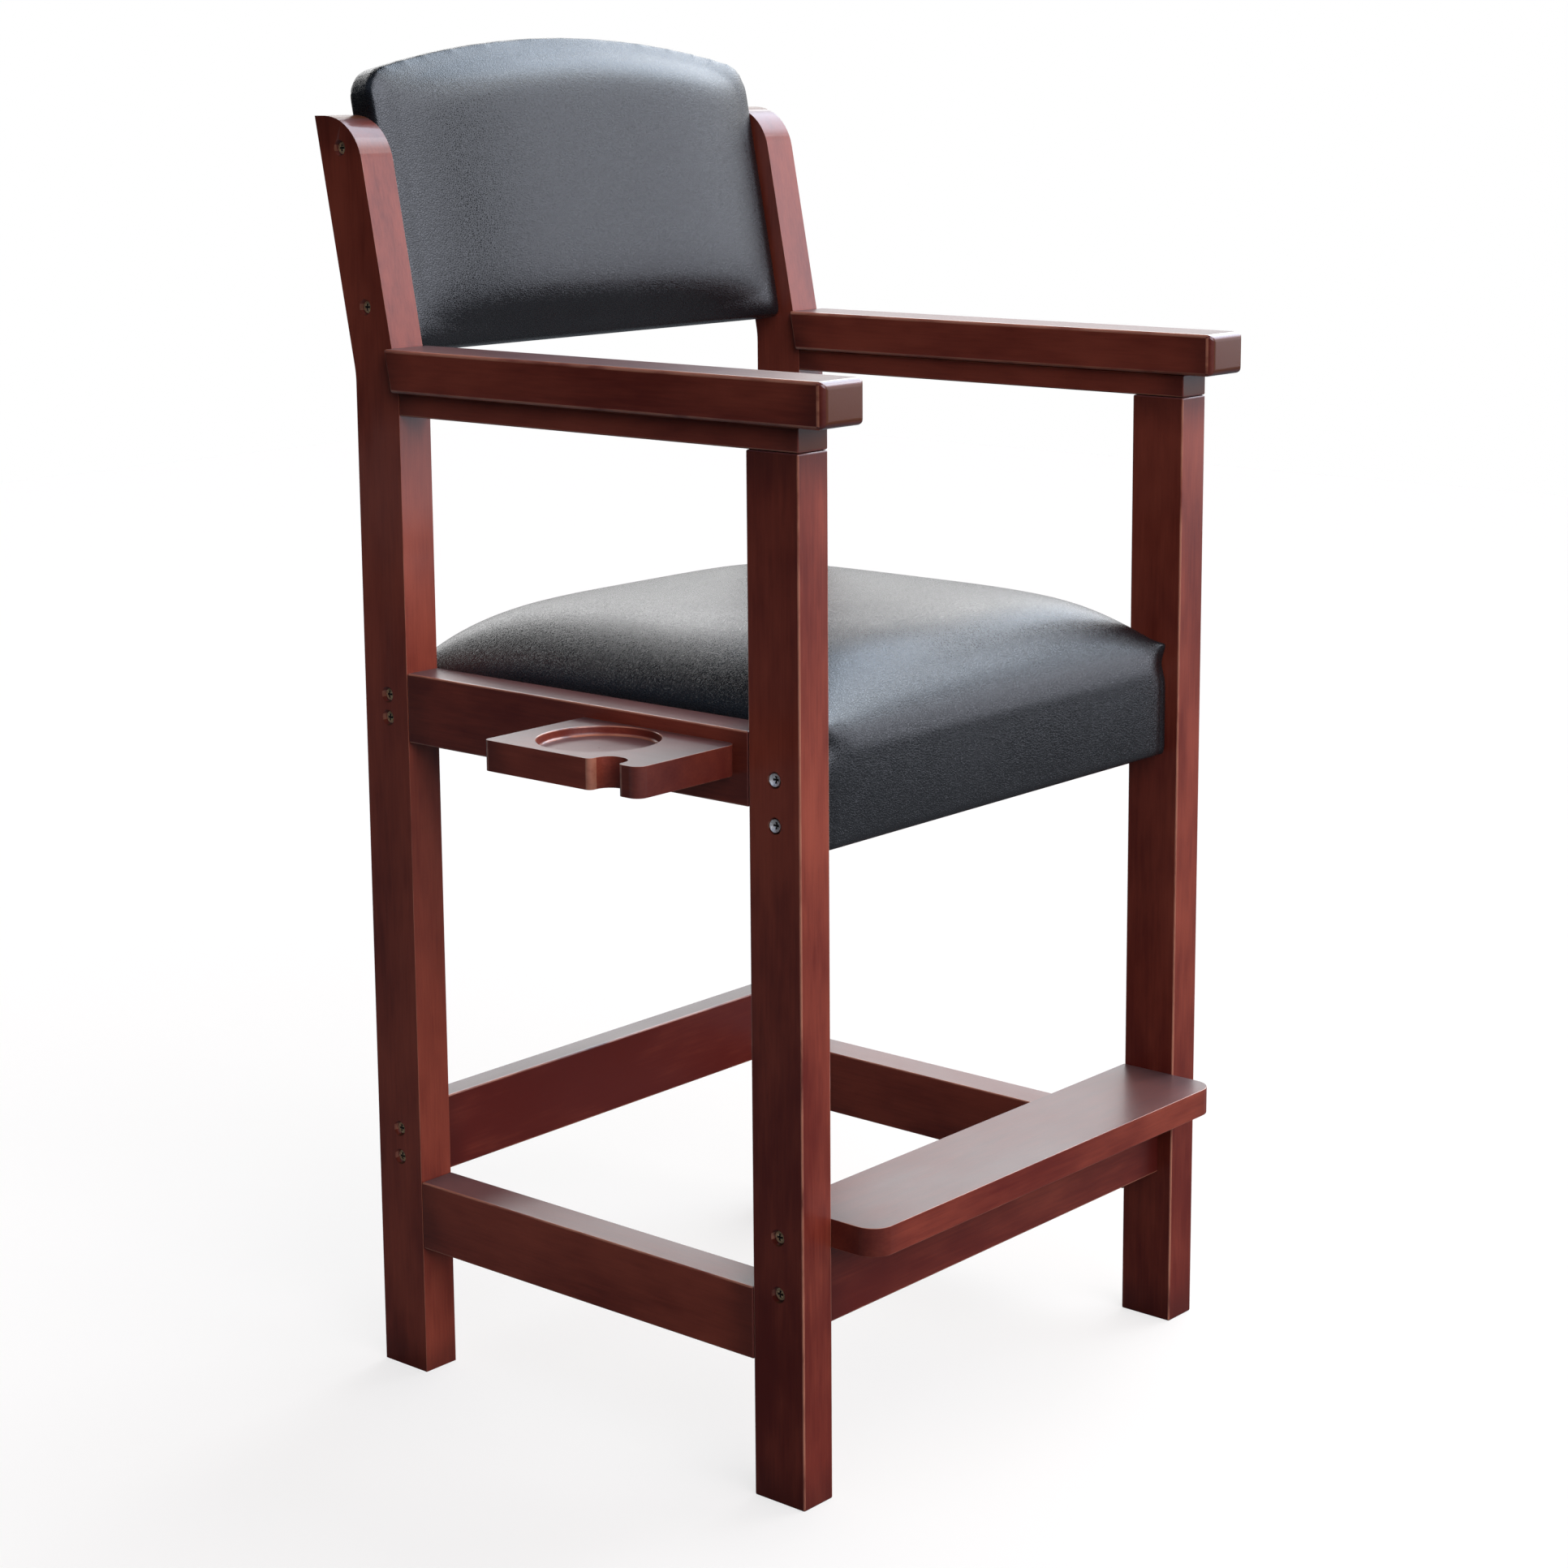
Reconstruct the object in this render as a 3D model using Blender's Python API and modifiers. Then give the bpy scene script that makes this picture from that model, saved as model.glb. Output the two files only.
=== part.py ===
"""Spectator chair: a tall wooden armchair with a vinyl seat and back, a footrest and a cup tray.

Units are metres and +Z is up. The sitter faces -Y, so the sitter's right is -X. The pieces are laid out
from the middle of the legs' footprint on the floor, and a parent empty then centres the whole chair.
"""
import math

import bmesh
import bpy
from mathutils import Matrix

# Side frames
FRAME_WIDTH = 0.578            # across the outer faces of the legs
FRAME_DEPTH = 0.515            # front of the front legs to the back of the rear posts, at the floor
LEG_WIDTH = 0.037              # legs, posts and side rails, across the chair
LEG_DEPTH = 0.055              # legs and posts, front to back
SIDE_STRETCHER_BOTTOM = 0.121
SIDE_STRETCHER_HEIGHT = 0.064
SEAT_RAIL_BOTTOM = 0.597
SEAT_RAIL_HEIGHT = 0.063
ARM_RAIL_BOTTOM = 0.890
ARM_RAIL_HEIGHT = 0.021

# Rear posts above the arms
BACK_LEAN = math.radians(11)
POST_RISE = 0.239              # top of the posts above their bend
POST_TOP_RADIUS = 0.048        # round front corner of the post's top
POST_BEND_RISE = 0.013         # the rear face bends this much above the front face
POST_BEND_RADIUS = 0.080

# Armrests
ARM_THICKNESS = 0.038
ARM_OUTER_LIP = 0.010          # beyond the leg's outer face
ARM_INNER_LIP = 0.006          # beyond the leg's inner face
ARM_OVERHANG = 0.0345          # in front of the front leg
ARM_END_RADIUS = 0.007
ARM_EDGE = 0.003               # rounding of the long edges

# Cross pieces
STRETCHER_THICKNESS = 0.026
REAR_STRETCHER_BOTTOM = 0.1815
REAR_STRETCHER_HEIGHT = 0.071
FRONT_STRETCHER_BOTTOM = 0.148
FRONT_STRETCHER_HEIGHT = 0.074
FOOTREST_THICKNESS = 0.025
FOOTREST_OVERHANG = 0.048      # in front of the legs
FOOTREST_CORNER_RADIUS = 0.020

# Cup tray on the right seat side rail
TRAY_LENGTH = 0.174            # along the rail
TRAY_REACH = 0.118             # out from the rail
TRAY_THICKNESS = 0.026
TRAY_DROP = 0.0115             # tray's top below the rail's top
TRAY_LEG_GAP = 0.011           # tray's front edge behind the front leg
TRAY_CORNER_RADIUS = 0.010
CUP_DIAMETER = 0.103
CUP_DEPTH = 0.008
CUP_RAIL_MARGIN = 0.0045       # rim of the recess to the rail
CUP_REAR_MARGIN = 0.020        # rim of the recess to the tray's rear edge
CUP_FLOOR_FILLET = 0.003
NOTCH_WIDTH = 0.030
NOTCH_DEPTH = 0.021
NOTCH_FRONT_MARGIN = 0.023     # notch to the tray's front edge
NOTCH_LIP_RADIUS = 0.005
NOTCH_FLOOR_RADIUS = 0.0135

# Upholstered seat
SEAT_FRONT_SETBACK = 0.011     # seat's front behind the legs' front faces
SEAT_REAR_SETBACK = 0.0145     # seat's back in front of the posts' rear faces
SEAT_APRON_DROP = 0.040        # lower edge of the covered front below the side rails
SEAT_BOTTOM_ROLL = 0.005       # rounded lower edge of the cover
SEAT_SIDE_SKIRT = 0.055        # cover turned down below the rail's top at the sides and back
SEAT_CROWN = 0.0585            # middle of the cushion above the rail's top
SEAT_SIDE_FLAT = 3.7           # powers of the dome across the seat: flatness, then roundness of the edge
SEAT_SIDE_ROUND = 0.55
SEAT_END_FLAT = 4.5            # the same from front to back
SEAT_END_ROUND = 0.42
SEAT_FRONT_PAD = 0.006         # padding in front of the front board
SEAT_WRAP = 0.004              # padding and vinyl at the sides and back
SEAT_BOARD_THICKNESS = 0.020
SEAT_BOARD_HEIGHT = 0.041      # side and rear boards of the seat's frame
SEAT_DECK_THICKNESS = 0.012
CORNER_BLOCK_LEG = 0.055
DUST_COVER_THICKNESS = 0.0015

# Upholstered back, measured from the front face of the leaning posts
BACK_BOTTOM = 0.037            # along the posts, above their bend
BACK_TOP = 0.317               # top of the arch
BACK_ARCH_RADIUS = 1.050
BACK_CORNER_RADIUS = 0.028
BACK_EDGE_DEPTH = 0.022        # rounded front edge starts this far behind the posts' front faces
BACK_ROLL = 0.014              # radius of the rounded front edge
BACK_CROWN = 0.020             # middle of the pad in front of its rounded edge
BACK_CROWN_FLAT = 4            # power of the crown: higher is flatter
BACK_DEPTH = 0.045             # back of the pad behind the posts' front faces
BACK_BOARD_DEPTH = 0.0258      # middle of the board behind the posts' front faces
BACK_BOARD_THICKNESS = 0.018
BACK_WRAP = 0.004              # padding and vinyl at the edges
BACK_COVER_RECESS = 0.001      # rear panel behind the pad's rear edge

# Fasteners
SCREW_LENGTH = 0.062           # under the head
SCREW_DIAMETER = 0.006
SCREW_HEAD_DIAMETER = 0.0115
SCREW_HEAD_THICKNESS = 0.0035
COUNTERBORE_DIAMETER = 0.0145
COUNTERBORE_DEPTH = 0.0085
SMALL_SCREW_LENGTH = 0.050
SMALL_SCREW_DIAMETER = 0.0045
SMALL_HEAD_DIAMETER = 0.0085
SMALL_HEAD_THICKNESS = 0.0025
SMALL_BORE_DIAMETER = 0.0100
ARM_SCREW_LENGTH = 0.034
BACK_SCREW_LOW = 0.042         # above the back pad's lower edge
BACK_SCREW_SPACING = 0.141
SEAT_REAR_SCREW_SPACING = 0.021
SEAT_FRONT_SCREW_SPACING = 0.038
STRETCHER_SCREW_SPACING = 0.027
TRAY_SCREW_SPACING = 0.120
ARM_SCREW_SPACING = 0.260

# Clearances and finish
JOINT_GAP = 0.0003             # between faces that touch
EDGE = 0.0015                  # eased edges of legs and rails
BOARD_EDGE = 0.003             # rounded edges of the footrest and the tray
BORE_SIDES = 16
SHANK_SIDES = 10
CUP_SIDES = 40
SEAT_GRID = 15                 # cuts across the seat cushion
BACK_FLAT_STEPS = 5            # steps of the back pad's grid, from its middle to its rounded edge
BACK_ROLL_ANGLES = (90, 60, 30, 0)   # steps over that edge

# Places worked out from the sizes above
LEG_OUT = FRAME_WIDTH / 2
LEG_IN = LEG_OUT - LEG_WIDTH
LEG_MID = LEG_OUT - LEG_WIDTH / 2
FRONT = -FRAME_DEPTH / 2
REAR = FRAME_DEPTH / 2
FRONT_LEG_BACK = FRONT + LEG_DEPTH
POST_FRONT = REAR - LEG_DEPTH
FRONT_LEG_MID = FRONT + LEG_DEPTH / 2
POST_MID = REAR - LEG_DEPTH / 2
CROSS_HALF = LEG_IN - JOINT_GAP
SEAT_RAIL_TOP = SEAT_RAIL_BOTTOM + SEAT_RAIL_HEIGHT
SEAT_APRON_BOTTOM = SEAT_RAIL_BOTTOM - SEAT_APRON_DROP
ARM_BOTTOM = ARM_RAIL_BOTTOM + ARM_RAIL_HEIGHT
ARM_TOP = ARM_BOTTOM + ARM_THICKNESS
POST_BEND = ARM_BOTTOM
POST_TOP = POST_BEND + POST_RISE
LEAN_SLOPE = math.tan(BACK_LEAN)
POST_TOP_REAR = REAR + (POST_TOP - POST_BEND - POST_BEND_RISE) * LEAN_SLOPE
FOOTREST_BOTTOM = FRONT_STRETCHER_BOTTOM + FRONT_STRETCHER_HEIGHT + JOINT_GAP
TRAY_TOP = SEAT_RAIL_TOP - TRAY_DROP
TRAY_FRONT = FRONT_LEG_BACK + TRAY_LEG_GAP
TRAY_REAR = TRAY_FRONT + TRAY_LENGTH
TRAY_ROOT = -LEG_OUT - JOINT_GAP
TRAY_TIP = TRAY_ROOT - TRAY_REACH
SEAT_FRONT = FRONT + SEAT_FRONT_SETBACK
SEAT_REAR = REAR - SEAT_REAR_SETBACK
SEAT_CORE_HALF = CROSS_HALF - SEAT_WRAP
SEAT_CORE_FRONT = SEAT_FRONT + SEAT_FRONT_PAD
SEAT_CORE_REAR = SEAT_REAR - SEAT_WRAP
SEAT_BOARD_TOP = SEAT_RAIL_TOP - SEAT_DECK_THICKNESS - JOINT_GAP
SEAT_BOARD_BOTTOM = SEAT_BOARD_TOP - SEAT_BOARD_HEIGHT
SEAT_FRONT_BOARD_MID = SEAT_CORE_FRONT + JOINT_GAP + SEAT_BOARD_THICKNESS / 2
SEAT_REAR_BOARD_MID = SEAT_CORE_REAR - JOINT_GAP - SEAT_BOARD_THICKNESS / 2
BACK_BOARD_FRONT = BACK_BOARD_DEPTH - BACK_BOARD_THICKNESS / 2
BACK_BOARD_REAR = BACK_BOARD_DEPTH + BACK_BOARD_THICKNESS / 2

BACK_PAD_REAR = POST_FRONT + BACK_DEPTH * math.cos(BACK_LEAN) + BACK_TOP * math.sin(BACK_LEAN)

# The empty stands in the middle of the box round the whole chair
BOX_MID_X = (TRAY_TIP + LEG_OUT + ARM_OUTER_LIP) / 2
BOX_MID_Y = (FRONT - FOOTREST_OVERHANG + max(POST_TOP_REAR, BACK_PAD_REAR)) / 2

for old in list(bpy.data.objects):
    bpy.data.objects.remove(old)

chair = bpy.data.collections.new("spectator_chair")
cutters = bpy.data.collections.new("cutters")
for collection in (chair, cutters):
    bpy.context.scene.collection.children.link(collection)

base = bpy.data.objects.new("chair_base", None)
base.location = (-BOX_MID_X, -BOX_MID_Y, 0)
chair.objects.link(base)


def finish(name, colour, roughness, metallic=0.0):
    """A plain Principled material."""
    material = bpy.data.materials.new(name)
    material.use_nodes = True
    shader = material.node_tree.nodes["Principled BSDF"]
    shader.inputs["Base Color"].default_value = (*colour, 1)
    shader.inputs["Roughness"].default_value = roughness
    shader.inputs["Metallic"].default_value = metallic
    return material


CHERRY = finish("cherry_stained_wood", (0.095, 0.022, 0.014), 0.35)
PLYWOOD = finish("plywood", (0.45, 0.30, 0.17), 0.75)
VINYL = finish("black_vinyl", (0.012, 0.013, 0.015), 0.42)
CLOTH = finish("black_dust_cloth", (0.02, 0.02, 0.02), 0.95)
ZINC = finish("yellow_zinc_steel", (0.52, 0.42, 0.26), 0.35, 1.0)


def place(mesh, name, material, location=(0, 0, 0), turn=(0, 0, 0), cutter=False):
    """An object for a mesh, laid out from the chair's base."""
    mesh.name = name
    thing = bpy.data.objects.new(name, mesh)
    thing.location = location
    thing.rotation_euler = turn
    thing.parent = base
    if cutter:
        thing.hide_render = True
        thing.display_type = "WIRE"
        cutters.objects.link(thing)
    else:
        mesh.materials.append(material)
        chair.objects.link(thing)
    return thing


def to_mesh(bm):
    """A new mesh from a bmesh, which is freed."""
    bmesh.ops.recalc_face_normals(bm, faces=bm.faces)
    mesh = bpy.data.meshes.new("shape")
    bm.to_mesh(mesh)
    bm.free()
    return mesh


def block(low, high):
    """A bmesh box between two corners, round its own middle, and that middle."""
    bm = bmesh.new()
    bmesh.ops.create_cube(bm, size=1)
    bmesh.ops.scale(bm, vec=[b - a for a, b in zip(low, high)], verts=bm.verts)
    return bm, [(a + b) / 2 for a, b in zip(low, high)]


def ease_edges(thing, width=EDGE, segments=2):
    """Round the sharp edges of a finished shape."""
    bevel = thing.modifiers.new("eased_edges", "BEVEL")
    bevel.width = width
    bevel.segments = segments
    bevel.limit_method = "ANGLE"
    bevel.angle_limit = math.radians(40)


def board(name, low, high, material=CHERRY, edge=EDGE):
    """A straight board with eased edges."""
    bm, middle = block(low, high)
    thing = place(to_mesh(bm), name, material, middle)
    if edge:
        ease_edges(thing, edge)
    return thing


def box_cutter(name, low, high):
    """A plain box that cuts other pieces."""
    bm, middle = block(low, high)
    return place(to_mesh(bm), name, None, middle, cutter=True)


def filleted(corners):
    """Points of a closed outline whose corners, each (x, y, radius, segments), are rounded by arcs."""
    points = []
    for index, (x, y, radius, segments) in enumerate(corners):
        before = corners[index - 1]
        after = corners[(index + 1) % len(corners)]
        if radius == 0:
            points.append((x, y))
            continue
        back = math.atan2(before[1] - y, before[0] - x)
        ahead = math.atan2(after[1] - y, after[0] - x)
        turn = (ahead - back + math.pi) % (2 * math.pi) - math.pi
        reach = radius / math.sin(abs(turn) / 2)
        middle = back + turn / 2
        centre = (x + reach * math.cos(middle), y + reach * math.sin(middle))
        sweep = math.copysign(math.pi - abs(turn), turn)
        for step in range(segments + 1):
            angle = middle + math.pi + sweep * (0.5 - step / segments)
            points.append((centre[0] + radius * math.cos(angle), centre[1] + radius * math.sin(angle)))
    return points


def slab(points, thickness):
    """A mesh of a flat outline in XY, as thick as given, half to each side of Z = 0."""
    curve = bpy.data.curves.new("outline", "CURVE")
    curve.dimensions = "2D"
    curve.fill_mode = "BOTH"
    curve.extrude = thickness / 2
    spline = curve.splines.new("POLY")
    spline.points.add(len(points) - 1)
    for point, (x, y) in zip(spline.points, points):
        point.co = (x, y, 0, 1)
    spline.use_cyclic_u = True
    holder = bpy.data.objects.new("outline", curve)
    bpy.context.scene.collection.objects.link(holder)
    bpy.context.view_layer.update()
    mesh = bpy.data.meshes.new_from_object(holder.evaluated_get(bpy.context.evaluated_depsgraph_get()))
    bpy.data.objects.remove(holder)
    bpy.data.curves.remove(curve)
    mesh.materials.clear()
    bm = bmesh.new()
    bm.from_mesh(mesh)
    bpy.data.meshes.remove(mesh)
    bmesh.ops.remove_doubles(bm, verts=bm.verts, dist=1e-6)
    return to_mesh(bm)


def turned(name, profile, sides, material, location, turn, cutter=False):
    """A turned piece round its own Z, from a profile of (radius, height) that runs top to bottom."""
    bm = bmesh.new()
    ring = [bm.verts.new((radius, 0, height)) for radius, height in profile]
    for upper, lower in zip(ring, ring[1:]):
        bm.edges.new((upper, lower))
    mesh = bpy.data.meshes.new("profile")
    bm.to_mesh(mesh)
    bm.free()
    thing = place(mesh, name, material, location, turn, cutter)
    lathe = thing.modifiers.new("turn", "SCREW")
    lathe.steps = sides
    lathe.render_steps = sides
    lathe.use_merge_vertices = True
    lathe.merge_threshold = 1e-5
    return thing


def cut(piece, cutter):
    """Take a cutter's shape out of a piece."""
    hole = piece.modifiers.new("cut_" + cutter.name, "BOOLEAN")
    hole.operation = "DIFFERENCE"
    hole.solver = "EXACT"
    hole.object = cutter


# Side frames, one for each side
STAND_SIDEWAYS = (math.pi / 2, 0, math.pi / 2)   # outline's X and Y become the chair's Y and Z
pieces = {}
post_outline = filleted([
    (REAR, 0, 0, 0),
    (REAR, POST_BEND + POST_BEND_RISE, POST_BEND_RADIUS, 4),
    (POST_TOP_REAR, POST_TOP, 0, 0),
    (POST_FRONT + (POST_TOP - POST_BEND) * LEAN_SLOPE, POST_TOP, POST_TOP_RADIUS, 12),
    (POST_FRONT, POST_BEND, 0, 0),
    (POST_FRONT, 0, 0, 0),
])
rail_front = FRONT_LEG_BACK + JOINT_GAP
rail_rear = POST_FRONT - JOINT_GAP
for side, sign in (("right", -1), ("left", 1)):
    side_low, side_high = sorted((sign * LEG_IN, sign * LEG_OUT))
    post = place(slab(post_outline, LEG_WIDTH), "rear_post_" + side, CHERRY, (sign * LEG_MID, 0, 0),
                 STAND_SIDEWAYS)
    ease_edges(post)
    pieces["post", side] = post

    pieces["leg", side] = board("front_leg_" + side, (side_low, FRONT, 0),
                                (side_high, FRONT_LEG_BACK, ARM_RAIL_BOTTOM - JOINT_GAP))
    board("side_stretcher_" + side, (side_low, rail_front, SIDE_STRETCHER_BOTTOM),
          (side_high, rail_rear, SIDE_STRETCHER_BOTTOM + SIDE_STRETCHER_HEIGHT))
    pieces["seat_rail", side] = board("seat_side_rail_" + side, (side_low, rail_front, SEAT_RAIL_BOTTOM),
                                      (side_high, rail_rear, SEAT_RAIL_TOP))
    pieces["arm_rail", side] = board("arm_rail_" + side, (side_low, FRONT, ARM_RAIL_BOTTOM),
                                     (side_high, rail_rear, ARM_BOTTOM - JOINT_GAP))

    # The arm's rear end is cut to the post's slope, and its front end is well rounded
    arm_low, arm_high = sorted((sign * (LEG_IN - ARM_INNER_LIP), sign * (LEG_OUT + ARM_OUTER_LIP)))
    arm, arm_middle = block((arm_low, FRONT - ARM_OVERHANG, ARM_BOTTOM),
                            (arm_high, rail_rear, ARM_TOP))
    weights = arm.edges.layers.float.new("bevel_weight_edge")
    for edge in arm.edges:
        ends = [vert.co.y for vert in edge.verts]
        if max(ends) < 0:
            edge[weights] = 1
        elif min(ends) < 0:
            edge[weights] = ARM_EDGE / ARM_END_RADIUS
        else:
            edge[weights] = EDGE / ARM_END_RADIUS
    for vert in arm.verts:
        if vert.co.y > 0 and vert.co.z > 0:
            vert.co.y += ARM_THICKNESS * LEAN_SLOPE
    armrest = place(to_mesh(arm), "armrest_" + side, CHERRY, arm_middle)
    rounding = armrest.modifiers.new("rounded_edges", "BEVEL")
    rounding.limit_method = "WEIGHT"
    rounding.width = ARM_END_RADIUS
    rounding.segments = 4
    pieces["arm", side] = armrest


# Cross pieces between the side frames
def stretcher(name, middle, bottom, height):
    """A board on edge between the inner faces of two legs."""
    half = STRETCHER_THICKNESS / 2
    return board(name, (-CROSS_HALF, middle - half, bottom), (CROSS_HALF, middle + half, bottom + height))


pieces["rear_stretcher"] = stretcher("rear_stretcher", POST_MID, REAR_STRETCHER_BOTTOM,
                                     REAR_STRETCHER_HEIGHT)
pieces["front_stretcher"] = stretcher("front_stretcher", FRONT_LEG_MID, FRONT_STRETCHER_BOTTOM,
                                      FRONT_STRETCHER_HEIGHT)

footrest_outline = filleted([
    (-CROSS_HALF, FRONT - FOOTREST_OVERHANG, FOOTREST_CORNER_RADIUS, 8),
    (CROSS_HALF, FRONT - FOOTREST_OVERHANG, FOOTREST_CORNER_RADIUS, 8),
    (CROSS_HALF, FRONT_LEG_BACK, 0, 0),
    (-CROSS_HALF, FRONT_LEG_BACK, 0, 0),
])
footrest_middle = FOOTREST_BOTTOM + FOOTREST_THICKNESS / 2
pieces["footrest"] = place(slab(footrest_outline, FOOTREST_THICKNESS), "footrest_board", CHERRY,
                           (0, 0, footrest_middle))
ease_edges(pieces["footrest"], BOARD_EDGE)

# Cup tray: an outline with a cue notch in its outer edge, and a turned recess for a glass
notch_front = TRAY_FRONT + NOTCH_FRONT_MARGIN
notch_rear = notch_front + NOTCH_WIDTH
notch_floor = TRAY_TIP + NOTCH_DEPTH
tray_outline = filleted([
    (TRAY_ROOT, TRAY_REAR, 0, 0),
    (TRAY_TIP, TRAY_REAR, TRAY_CORNER_RADIUS / 2, 4),
    (TRAY_TIP, notch_rear, NOTCH_LIP_RADIUS, 4),
    (notch_floor, notch_rear, NOTCH_FLOOR_RADIUS, 6),
    (notch_floor, notch_front, NOTCH_FLOOR_RADIUS, 6),
    (TRAY_TIP, notch_front, NOTCH_LIP_RADIUS, 4),
    (TRAY_TIP, TRAY_FRONT, TRAY_CORNER_RADIUS, 5),
    (TRAY_ROOT, TRAY_FRONT, TRAY_CORNER_RADIUS, 5),
])
tray_middle = TRAY_TOP - TRAY_THICKNESS / 2
tray = place(slab(tray_outline, TRAY_THICKNESS), "cup_tray", CHERRY, (0, 0, tray_middle))
ease_edges(tray, BOARD_EDGE)
cup_radius = CUP_DIAMETER / 2
cup_profile = [(0, CUP_DEPTH), (cup_radius, CUP_DEPTH)]
for step in range(4):
    angle = step / 3 * math.pi / 2
    cup_profile.append((cup_radius - CUP_FLOOR_FILLET * (1 - math.cos(angle)),
                        -CUP_DEPTH + CUP_FLOOR_FILLET * (1 - math.sin(angle))))
cup_profile.append((0, -CUP_DEPTH))
cup_place = (TRAY_ROOT - CUP_RAIL_MARGIN - cup_radius, TRAY_REAR - CUP_REAR_MARGIN - cup_radius,
             TRAY_TOP)
cut(tray, turned("cup_recess", cup_profile, CUP_SIDES, None, cup_place, (0, 0, 0), cutter=True))

# Wood frame of the seat
seat_frame_front = SEAT_CORE_FRONT + JOINT_GAP
seat_frame_rear = SEAT_CORE_REAR - JOINT_GAP
seat_frame_half = SEAT_CORE_HALF - JOINT_GAP
side_front = seat_frame_front + SEAT_BOARD_THICKNESS + JOINT_GAP
side_rear = seat_frame_rear - SEAT_BOARD_THICKNESS - JOINT_GAP
apron_bottom = SEAT_APRON_BOTTOM + SEAT_WRAP
pieces["seat_front"] = board("seat_front_board", (-seat_frame_half, seat_frame_front, apron_bottom),
                             (seat_frame_half, seat_frame_front + SEAT_BOARD_THICKNESS, SEAT_BOARD_TOP),
                             PLYWOOD, 0)
pieces["seat_rear"] = board("seat_rear_board",
                            (-seat_frame_half, seat_frame_rear - SEAT_BOARD_THICKNESS, SEAT_BOARD_BOTTOM),
                            (seat_frame_half, seat_frame_rear, SEAT_BOARD_TOP), PLYWOOD, 0)
block_corner = seat_frame_half - SEAT_BOARD_THICKNESS - JOINT_GAP
for side, sign in (("right", -1), ("left", 1)):
    inner, outer = sorted((sign * (seat_frame_half - SEAT_BOARD_THICKNESS), sign * seat_frame_half))
    board("seat_cross_side_" + side, (inner, side_front, SEAT_BOARD_BOTTOM),
          (outer, side_rear, SEAT_BOARD_TOP), PLYWOOD, 0)
block_places = [(-1, side_front, 1), (1, side_front, 1), (-1, side_rear, -1), (1, side_rear, -1)]
for number, (sign, corner_y, inward) in enumerate(block_places, 1):
    corner_x = sign * block_corner
    near_y = corner_y + inward * JOINT_GAP
    triangle = [(corner_x, near_y), (corner_x - sign * CORNER_BLOCK_LEG, near_y),
                (corner_x, near_y + inward * CORNER_BLOCK_LEG)]
    place(slab(triangle, SEAT_BOARD_HEIGHT), "seat_corner_block_%d" % number, PLYWOOD,
          (0, 0, SEAT_BOARD_TOP - SEAT_BOARD_HEIGHT / 2))
board("seat_deck", (-seat_frame_half, seat_frame_front, SEAT_BOARD_TOP + JOINT_GAP),
      (seat_frame_half, seat_frame_rear, SEAT_RAIL_TOP), PLYWOOD, 0)
dust_top = SEAT_BOARD_BOTTOM - JOINT_GAP
board("seat_dust_cover", (-seat_frame_half, side_front, dust_top - DUST_COVER_THICKNESS),
      (seat_frame_half, seat_frame_rear, dust_top), CLOTH, 0)


def soft_block(name, cuts, shape):
    """A cushion: a box of many cuts each way, moved point by point and shaded smooth."""
    bm = bmesh.new()
    bmesh.ops.create_cube(bm, size=2)
    for axis, count in enumerate(cuts):
        along = [edge for edge in bm.edges
                 if abs(edge.verts[0].co[axis] - edge.verts[1].co[axis]) > 1e-6]
        bmesh.ops.subdivide_edges(bm, edges=along, cuts=count, use_grid_fill=True)
    for vert in bm.verts:
        vert.co = shape(*vert.co)
    thing = place(to_mesh(bm), name, VINYL)
    for polygon in thing.data.polygons:
        polygon.use_smooth = True
    return thing


def stretch(value, marks):
    """Even steps from 0 to 1 moved to the given marks."""
    position = value * (len(marks) - 1)
    index = min(int(position + 1e-6), len(marks) - 2)
    return marks[index] + (position - index) * (marks[index + 1] - marks[index])


# Seat cushion: flat sides between the rails and a dome that rolls over at every edge
SEAT_LEVELS = (SEAT_APRON_BOTTOM, SEAT_APRON_BOTTOM + SEAT_BOTTOM_ROLL, SEAT_RAIL_BOTTOM, SEAT_RAIL_TOP)


def dome(share, flat, rounding):
    """Height of a dome, 1 in the middle and 0 at its edge, where share is 1."""
    return max(0, 1 - abs(share) ** flat) ** rounding


def seat_shape(u, v, w):
    """Where a point of the seat's box lies, from its place of -1 to 1 along each side."""
    across = math.sin(u * math.pi / 2)
    along = math.sin(v * math.pi / 2)
    z = stretch((w + 1) / 2, SEAT_LEVELS)
    if w > 1 - 1e-6:
        z += (SEAT_CROWN * dome(across, SEAT_SIDE_FLAT, SEAT_SIDE_ROUND)
              * dome(along, SEAT_END_FLAT, SEAT_END_ROUND))
    middle = (SEAT_FRONT + SEAT_REAR) / 2
    trim = SEAT_BOTTOM_ROLL if w < -1 + 1e-6 else 0
    return across * (CROSS_HALF - trim), middle + along * ((SEAT_REAR - SEAT_FRONT) / 2 - trim), z


seat = soft_block("seat_cushion", (SEAT_GRID, SEAT_GRID, 2), seat_shape)
core_reach = CROSS_HALF + SEAT_WRAP
core_low = SEAT_APRON_BOTTOM - SEAT_WRAP
cut(seat, box_cutter("seat_core", (-SEAT_CORE_HALF, SEAT_CORE_FRONT, core_low),
                     (SEAT_CORE_HALF, SEAT_CORE_REAR, SEAT_RAIL_TOP + JOINT_GAP)))
cut(seat, box_cutter("seat_skirt_trim", (-core_reach, side_front, core_low - SEAT_WRAP),
                     (core_reach, SEAT_REAR + SEAT_WRAP, SEAT_RAIL_TOP - SEAT_SIDE_SKIRT)))


# Upholstered back, laid out along the leaning posts: X across, Y up the posts, Z to the front
LEAN_TURN = (math.pi / 2 - BACK_LEAN, 0, 0)


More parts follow.
